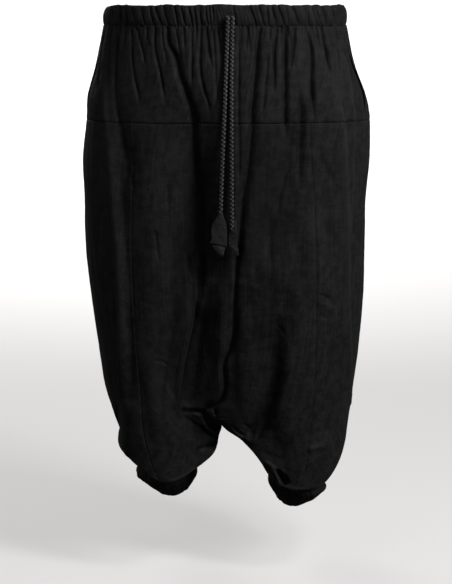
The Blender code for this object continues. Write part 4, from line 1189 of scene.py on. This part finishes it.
def buildCord(name):
    route = np.array(cordRoutes[name])
    dense = curveThrough(route, np.linspace(0, len(route) - 1, 600))
    run = runAlong(dense)
    length = run[-1]
    places = np.linspace(0, length, int(length / cord["step"]))
    path = np.stack([np.interp(places, run, dense[:, axis]) for axis in range(3)], axis=1)
    tangent = unit(np.gradient(path, axis=0), 1)
    right = unit(np.cross(tangent, [0.0, -1.0, 0.0]), 1)
    front = np.cross(right, tangent)
    angle = np.linspace(0, 2 * np.pi, cord["sides"], endpoint=False)[None, :]
    sine = np.sin(angle)
    # two columns of plump strands, half a pitch apart
    phase = places[:, None] / cord["pitch"] * 2 * np.pi
    chevron = np.cos(phase + cord["bow"] * np.abs(sine) + np.where(sine > 0, np.pi, 0))
    chevron = chevron * np.minimum(1, 3 * np.abs(sine))
    radius = cord["diameter"] / 2 - cord["relief"] / 2 + cord["relief"] / 2 * chevron
    points = (path[:, None] + right[:, None] * (radius * sine)[..., None] * cord["wide"]
              + front[:, None] * (radius * np.cos(angle))[..., None] * cord["flat"])
    clothMap = np.stack([np.broadcast_to(angle / (2 * np.pi), radius.shape),
                         np.broadcast_to(places[:, None], radius.shape)], axis=2)
    ends = np.arange(radius.size).reshape(radius.shape)
    piece = addPiece(name + "_braid", points, tubeFaces(*radius.shape)[:, [0, 3, 2, 1]], clothMap,
                     caps=[ends[0][::-1].tolist(), ends[-1].tolist()])
    finishPiece(piece, name, "braid")
    cords[name] = {"length": float(length), "path": path[::12].tolist() + [path[-1].tolist()],
                   "exit": route[0].tolist(), "end": path[-1]}


for name in cordRoutes:
    buildCord(name)
print("drawstring done")


# A scrap of cloth folded over each end. Rows go down it in millimetres: left x and z, right x and z,
# how far it stands before the cord's end and how much its middle swells. The right one doubles back.
tipRows = {
    "tip_right": [(-12.5, -334, -5.5, -334, 1.8, 2.4), (-16.5, -343, -3.5, -343, 1.6, 2.6),
                  (-23.2, -354, 0, -353, 1.2, 2.6), (-25.6, -367, 1.6, -366, 1.4, 2.2),
                  (-25.4, -381, 1.7, -381, 1.8, 1.4), (-28.4, -386, 1.8, -392, 2.6, 0.6),
                  (-27.0, -385, 1.2, -391, 0.2, 0.2), (-26.6, -387, 0.6, -393, 0.2, 0.5),
                  (-21.0, -397, -2.6, -399, 0.9, 0.8), (-12.4, -406, -3.8, -406, 0.8, 0.6),
                  (-7.6, -411, -5.8, -411, 0.4, 0.2)],
    "tip_left": [(11.6, -346, 18.0, -346, 0.2, 0.3), (10.8, -364, 18.8, -364, 1.6, 1.0),
                 (6.2, -370, 18.8, -369, 1.6, 1.6), (4.4, -381, 18.9, -381, 1.4, 1.0),
                 (5.6, -393, 19.4, -392, 1.0, 0.8), (12.5, -399, 21.4, -398, 1.4, 0.6),
                 (19.0, -409, 22.0, -409, 0.6, 0.2)],
}
tipSetup = {"down": 90, "across": 26, "wall": 0.7*mm, "ripple": 0.25*mm, "crumple": 0.5*mm}
def buildTip(name):
    places = np.linspace(0, len(tipRows[name]) - 1, tipSetup["down"])
    rows = curveThrough(np.array(tipRows[name]) * mm, places)
    left, right, ahead, swell = rows[:, None, 0:2], rows[:, None, 2:4], rows[:, 4:5], rows[:, 5:6]
    u = np.linspace(0, 1, tipSetup["across"])[None, :]
    flat = left * (1 - u[..., None]) + right * u[..., None]
    y = cords[name.replace("tip", "cord")]["end"][1] - ahead - swell * np.sin(np.pi * u) ** 0.8
    y = y + tipSetup["ripple"] * np.sin((flat[..., 0] * 1.6 + flat[..., 1]) * 170)
    y = y + tipSetup["crumple"] * softNoise(flat[..., [0, 1, 1]], 0.006, 2.0)
    points = np.stack([flat[..., 0], y, flat[..., 1]], axis=2)
    faces = gridFaces(np.arange(y.size).reshape(y.shape))
    piece = addPiece(name + "_cloth", points, faces, flat, np.zeros(y.size))
    finishPiece(piece, name, "tip_cloth", tipSetup["wall"])


for name in tipRows:
    buildTip(name)
print("tips done")


def newMaterial(name):
    material = bpy.data.materials.new(name)
    material.use_nodes = True
    return material, material.node_tree.nodes, material.node_tree.links


def addNode(nodes, kind, **values):
    node = nodes.new(kind)
    for key, value in values.items():
        setattr(node, key, value)
    return node


def addMath(nodes, links, operation, *terms):
    # terms are sockets or numbers
    node = addNode(nodes, "ShaderNodeMath", operation=operation)
    for k, term in enumerate(terms):
        if isinstance(term, (int, float)):
            node.inputs[k].default_value = term
        else:
            links.new(term, node.inputs[k])
    return node.outputs[0]


def addNoise(nodes, links, place, scale, detail, stretch=None):
    # noise on a place socket; stretch gives its cells per metre along each way
    if stretch:
        mapping = nodes.new("ShaderNodeMapping")
        mapping.inputs["Scale"].default_value = stretch
        links.new(place, mapping.inputs["Vector"])
        place = mapping.outputs["Vector"]
    noise = nodes.new("ShaderNodeTexNoise")
    noise.inputs["Scale"].default_value = scale
    noise.inputs["Detail"].default_value = detail
    links.new(place, noise.inputs["Vector"])
    return noise.outputs["Fac"]


def addRange(nodes, links, value, fromMin, fromMax, toMin=0.0, toMax=1.0):
    node = nodes.new("ShaderNodeMapRange")
    limits = {"From Min": fromMin, "From Max": fromMax, "To Min": toMin, "To Max": toMax}
    for name, limit in limits.items():
        node.inputs[name].default_value = limit
    links.new(value, node.inputs["Value"])
    return node.outputs["Result"]


def addMix(nodes, links, factor, first, second):
    # blends two colours; the first may be a socket
    node = addNode(nodes, "ShaderNodeMix", data_type="RGBA")
    links.new(factor, node.inputs["Factor"])
    if isinstance(first, tuple):
        node.inputs["A"].default_value = first
    else:
        links.new(first, node.inputs["A"])
    node.inputs["B"].default_value = second
    return node.outputs["Result"]


def setInputs(node, values):
    for name, value in values.items():
        node.inputs[name].default_value = value


def clothFinish(name, look):
    # washed black weave: slubs along the thread, patchy dye; paler where ridges stand proud, partly from wear
    # and partly as painted highlight; darker in recesses as painted shade
    material, nodes, links = newMaterial(name)
    shader = nodes["Principled BSDF"]
    cloth = addNode(nodes, "ShaderNodeUVMap", uv_map="clothMap").outputs["UV"]
    place = nodes.new("ShaderNodeTexCoord").outputs["Object"]
    ridge = addNode(nodes, "ShaderNodeAttribute", attribute_name="ridge").outputs["Fac"]

    slubs = addNoise(nodes, links, cloth, 1.0, 3.0, (240.0, 13.0, 1.0))
    crossSlubs = addNoise(nodes, links, cloth, 1.0, 3.0, (20.0, 280.0, 1.0))
    patches = addNoise(nodes, links, place, 17.0, 3.0)
    mottle = addNoise(nodes, links, place, 75.0, 3.0)
    grain = addNoise(nodes, links, cloth, 330.0, 2.0)
    blend = 0.5
    for noise, gain in ((slubs, 1.2), (crossSlubs, 0.6), (patches, 0.6), (mottle, 1.5), (grain, 0.9)):
        away = addMath(nodes, links, "SUBTRACT", noise, 0.5)
        blend = addMath(nodes, links, "MULTIPLY_ADD", away, gain * look["mottle"], blend)
    tone = addMix(nodes, links, blend, look["dark"], look["light"])
    # paler colour on proud ridges: partly rubbed wear, partly painted highlight along crests and lit edges
    rubAndHighlight = addRange(nodes, links, ridge, 0.0, look["rubAndHighlightReach"], 0.0, look["rubAndHighlight"] * 2)
    # painted shade: the colour darkens the deeper the cloth lies folded away
    recess = addRange(nodes, links, ridge, *look["recessReach"], look["recess"])
    deep = addNode(nodes, "ShaderNodeVectorMath", operation="SCALE")
    links.new(tone, deep.inputs[0])
    links.new(recess, deep.inputs["Scale"])
    worn = addMix(nodes, links, rubAndHighlight, deep.outputs["Vector"], look["worn"])
    links.new(worn, shader.inputs["Base Color"])

    # soft crepe, slubs and woven threads in the bump
    warp = addNode(nodes, "ShaderNodeTexWave", wave_type="BANDS", bands_direction="X")
    weft = addNode(nodes, "ShaderNodeTexWave", wave_type="BANDS", bands_direction="Y")
    for wave in (warp, weft):
        wave.inputs["Scale"].default_value = 0.314 / look["thread"]
        links.new(cloth, wave.inputs["Vector"])
    threads = addMath(nodes, links, "MULTIPLY", warp.outputs["Fac"], weft.outputs["Fac"])
    crepe = addNoise(nodes, links, place, 210.0, 5.0)
    relief = addMath(nodes, links, "MULTIPLY_ADD", slubs, 0.6, crepe)
    normal = None
    for height, distance, strength in ((relief, look["crepe"], 0.9), (threads, look["threadRelief"], 0.6)):
        bump = nodes.new("ShaderNodeBump")
        setInputs(bump, {"Strength": strength, "Distance": distance})
        links.new(height, bump.inputs["Height"])
        if normal:
            links.new(normal, bump.inputs["Normal"])
        normal = bump.outputs["Normal"]
    links.new(normal, shader.inputs["Normal"])

    # quite matt where the cloth lies folded right away
    matt = addRange(nodes, links, ridge, *look["mattReach"], look["rough"])
    links.new(matt, shader.inputs["Roughness"])
    setInputs(shader, {"Specular IOR Level": look["specular"], "Sheen Weight": look["sheen"],
                       "Sheen Roughness": look["sheenRough"], "Sheen Tint": look["sheenTint"]})
    return material


# Reaches are heights in metres that a point stands proud, or below zero lies folded away
blackLook = {
    "dark": (0.0022, 0.0022, 0.0023, 1), "light": (0.0070, 0.0070, 0.0073, 1), "mottle": 1.8,
    "worn": (0.0105, 0.0105, 0.011, 1), "rubAndHighlight": 0.5, "rubAndHighlightReach": 0.012,
    # how dark the painted shade in deep folds gets, and over which depths
    "recess": 0.05, "recessReach": (-0.075, -0.004),
    "thread": 0.0006, "threadRelief": 0.00009, "crepe": 0.0006,
    "rough": 0.7, "mattReach": (-0.028, -0.055), "specular": 0.08,
    "sheen": 0.012, "sheenRough": 0.5, "sheenTint": (0.75, 0.76, 0.82, 1),
}
looks = {
    "black_cloth": blackLook,
    "casing_cloth": dict(blackLook, rubAndHighlight=0.6),
    "tip_cloth": dict(blackLook, dark=(0.0050, 0.0050, 0.0053, 1), light=(0.0120, 0.0120, 0.0125, 1),
                      rubAndHighlight=0.0, sheen=0.02),
}
finishes = {name: clothFinish(name, look) for name, look in looks.items()}
braidLook = {"dark": (0.0030, 0.0030, 0.0033, 1), "fleck": (0.052, 0.052, 0.054, 1), "rough": 0.6,
             "specular": 0.15}
def braidFinish():
    # black braid with pale flecks in two columns, half a pitch apart
    material, nodes, links = newMaterial("braid")
    shader = nodes["Principled BSDF"]
    uv = addNode(nodes, "ShaderNodeUVMap", uv_map="clothMap").outputs["UV"]
    split = nodes.new("ShaderNodeSeparateXYZ")
    links.new(uv, split.inputs["Vector"])

    def math(operation, *terms):
        return addMath(nodes, links, operation, *terms)

    def clear(value):
        clamp = nodes.new("ShaderNodeClamp")
        links.new(value, clamp.inputs["Value"])
        return clamp.outputs[0]

    sine = math("SINE", math("MULTIPLY", split.outputs["X"], 2 * np.pi))
    bow = math("ABSOLUTE", sine)
    bent = math("MULTIPLY", bow, cord["bow"])
    run = math("MULTIPLY_ADD", split.outputs["Y"], 2 * np.pi / cord["pitch"], bent)
    wave = math("COSINE", math("MULTIPLY_ADD", math("GREATER_THAN", sine, 0.0), np.pi, run))
    speckle = addNoise(nodes, links, uv, 1.0, 2.0, (9.0, 420.0, 1.0))
    uneven = math("MULTIPLY_ADD", speckle, 1.3, -0.65)
    fleck = math("MULTIPLY", math("SUBTRACT", math("ADD", wave, uneven), 0.35), 2.6)
    rising = math("MULTIPLY", math("SUBTRACT", bow, 0.08), 5.0)
    band = math("MULTIPLY", rising, math("MULTIPLY", math("SUBTRACT", 0.95, bow), 4.0))
    shown = math("MULTIPLY", clear(fleck), clear(band))
    links.new(addMix(nodes, links, shown, braidLook["dark"], braidLook["fleck"]), shader.inputs["Base Color"])
    setInputs(shader, {"Roughness": braidLook["rough"], "Specular IOR Level": braidLook["specular"]})
    return material


finishes["braid"] = braidFinish()
for name, piece in pieces.items():
    piece.data.materials.append(finishes[slots[name]])
print("materials done")


# Floor, backdrop and light
studio = {
    "floor": -0.992, "floorTone": (0.27, 0.262, 0.259, 1), "wallTone": (0.84, 0.835, 0.83, 1), "fade": 0.5,
    "width": 8.0, "near": -6.0, "far": 5.2, "bend": 3.7, "top": 6.0,
    "paperRough": 0.9, "glow": 0.45, "glowTone": (1, 0.99, 0.985, 1), "worldLight": 0.045,
    # softboxes: place, what each is aimed at, size in metres and watts
    "lights": {"keyRight": ((2.4, -1.95, 1.35), (0, 0, -0.35), (0.9, 1.5), 112),
               "nearTop": ((0.9, -1.1, 1.1), (0.1, 0, -0.05), (0.5, 0.5), 23),
               "fillTop": ((-1.7, -2.5, 2.0), (0, 0, -0.10), (1.2, 1.2), 15),
               "sideLeft": ((-2.6, 0.2, 0.5), (-0.1, 0, -0.45), (0.9, 2.0), 10),
               "sideRight": ((2.6, 0.6, 0.5), (0.1, 0, -0.45), (0.9, 2.0), 13),
               "lowFront": ((0.2, -2.4, -0.85), (0, 0, -0.50), (2.4, 0.8), 10),
               "rear": ((-1.3, 2.9, 1.5), (0, 0.1, -0.40), (1.2, 1.6), 60)},
    "spot": {"place": (0.25, 0.75, 2.4), "tilt": 50, "energy": 300, "cone": 78, "blend": 0.7, "soft": 0.4},
}


def buildStage():
    # a floor that turns up softly into the back wall
    floor, far, radius, width = (studio[key] for key in ("floor", "far", "bend", "width"))
    bend = np.linspace(0, np.pi / 2, 24)
    line = [(studio["near"], floor)]
    line += [(far - radius + radius * np.sin(a), floor + radius - radius * np.cos(a)) for a in bend]
    line.append((far, studio["top"]))
    points = np.array([(x, y, z) for y, z in line for x in (-width, width)])
    faces = np.array([(2 * k, 2 * k + 1, 2 * k + 3, 2 * k + 2) for k in range(len(line) - 1)])
    piece = addPiece("backdrop", points, faces)
    material, nodes, links = newMaterial("paper")
    split = nodes.new("ShaderNodeSeparateXYZ")
    links.new(nodes.new("ShaderNodeTexCoord").outputs["Object"], split.inputs["Vector"])
    rise = addRange(nodes, links, split.outputs["Z"], floor, floor + studio["fade"])
    shader = nodes["Principled BSDF"]
    tone = addMix(nodes, links, rise, studio["floorTone"], studio["wallTone"])
    links.new(tone, shader.inputs["Base Color"])
    # the paper also glows a little: painted light that lifts the floor around the garment's shadow
    setInputs(shader, {"Roughness": studio["paperRough"], "Emission Color": studio["glowTone"],
                       "Emission Strength": studio["glow"]})
    piece.data.materials.append(material)
    piece.visible_diffuse = False
    piece.visible_glossy = False


def addSoftbox(name, place, target, size, power):
    bpy.ops.object.light_add(type="AREA", location=place)
    light = bpy.context.object
    light.name = name
    light.data.shape = "RECTANGLE"
    light.data.size, light.data.size_y = size
    light.data.energy = power
    aim = np.array(target) - np.array(place)
    pitch = np.arccos(-aim[2] / np.linalg.norm(aim))
    heading = np.arctan2(aim[1], aim[0]) - np.pi / 2
    light.rotation_euler = (pitch, 0.0, heading)


def addWallSpot(spot):
    bpy.ops.object.light_add(type="SPOT", location=spot["place"])
    light = bpy.context.object
    light.name = "wallSpot"
    light.data.energy = spot["energy"]
    light.data.spot_size = np.radians(spot["cone"])
    light.data.spot_blend = spot["blend"]
    light.data.shadow_soft_size = spot["soft"]
    light.rotation_euler = (np.radians(spot["tilt"]), 0.0, 0.0)


buildStage()
for name, light in studio["lights"].items():
    addSoftbox(name, *light)
addWallSpot(studio["spot"])
world = bpy.data.worlds.new("studio")
scene.world = world
world.use_nodes = True
setInputs(world.node_tree.nodes["Background"], {"Color": (1, 1, 1, 1), "Strength": studio["worldLight"]})
scene.view_settings.view_transform = "Standard"
print("studio done")
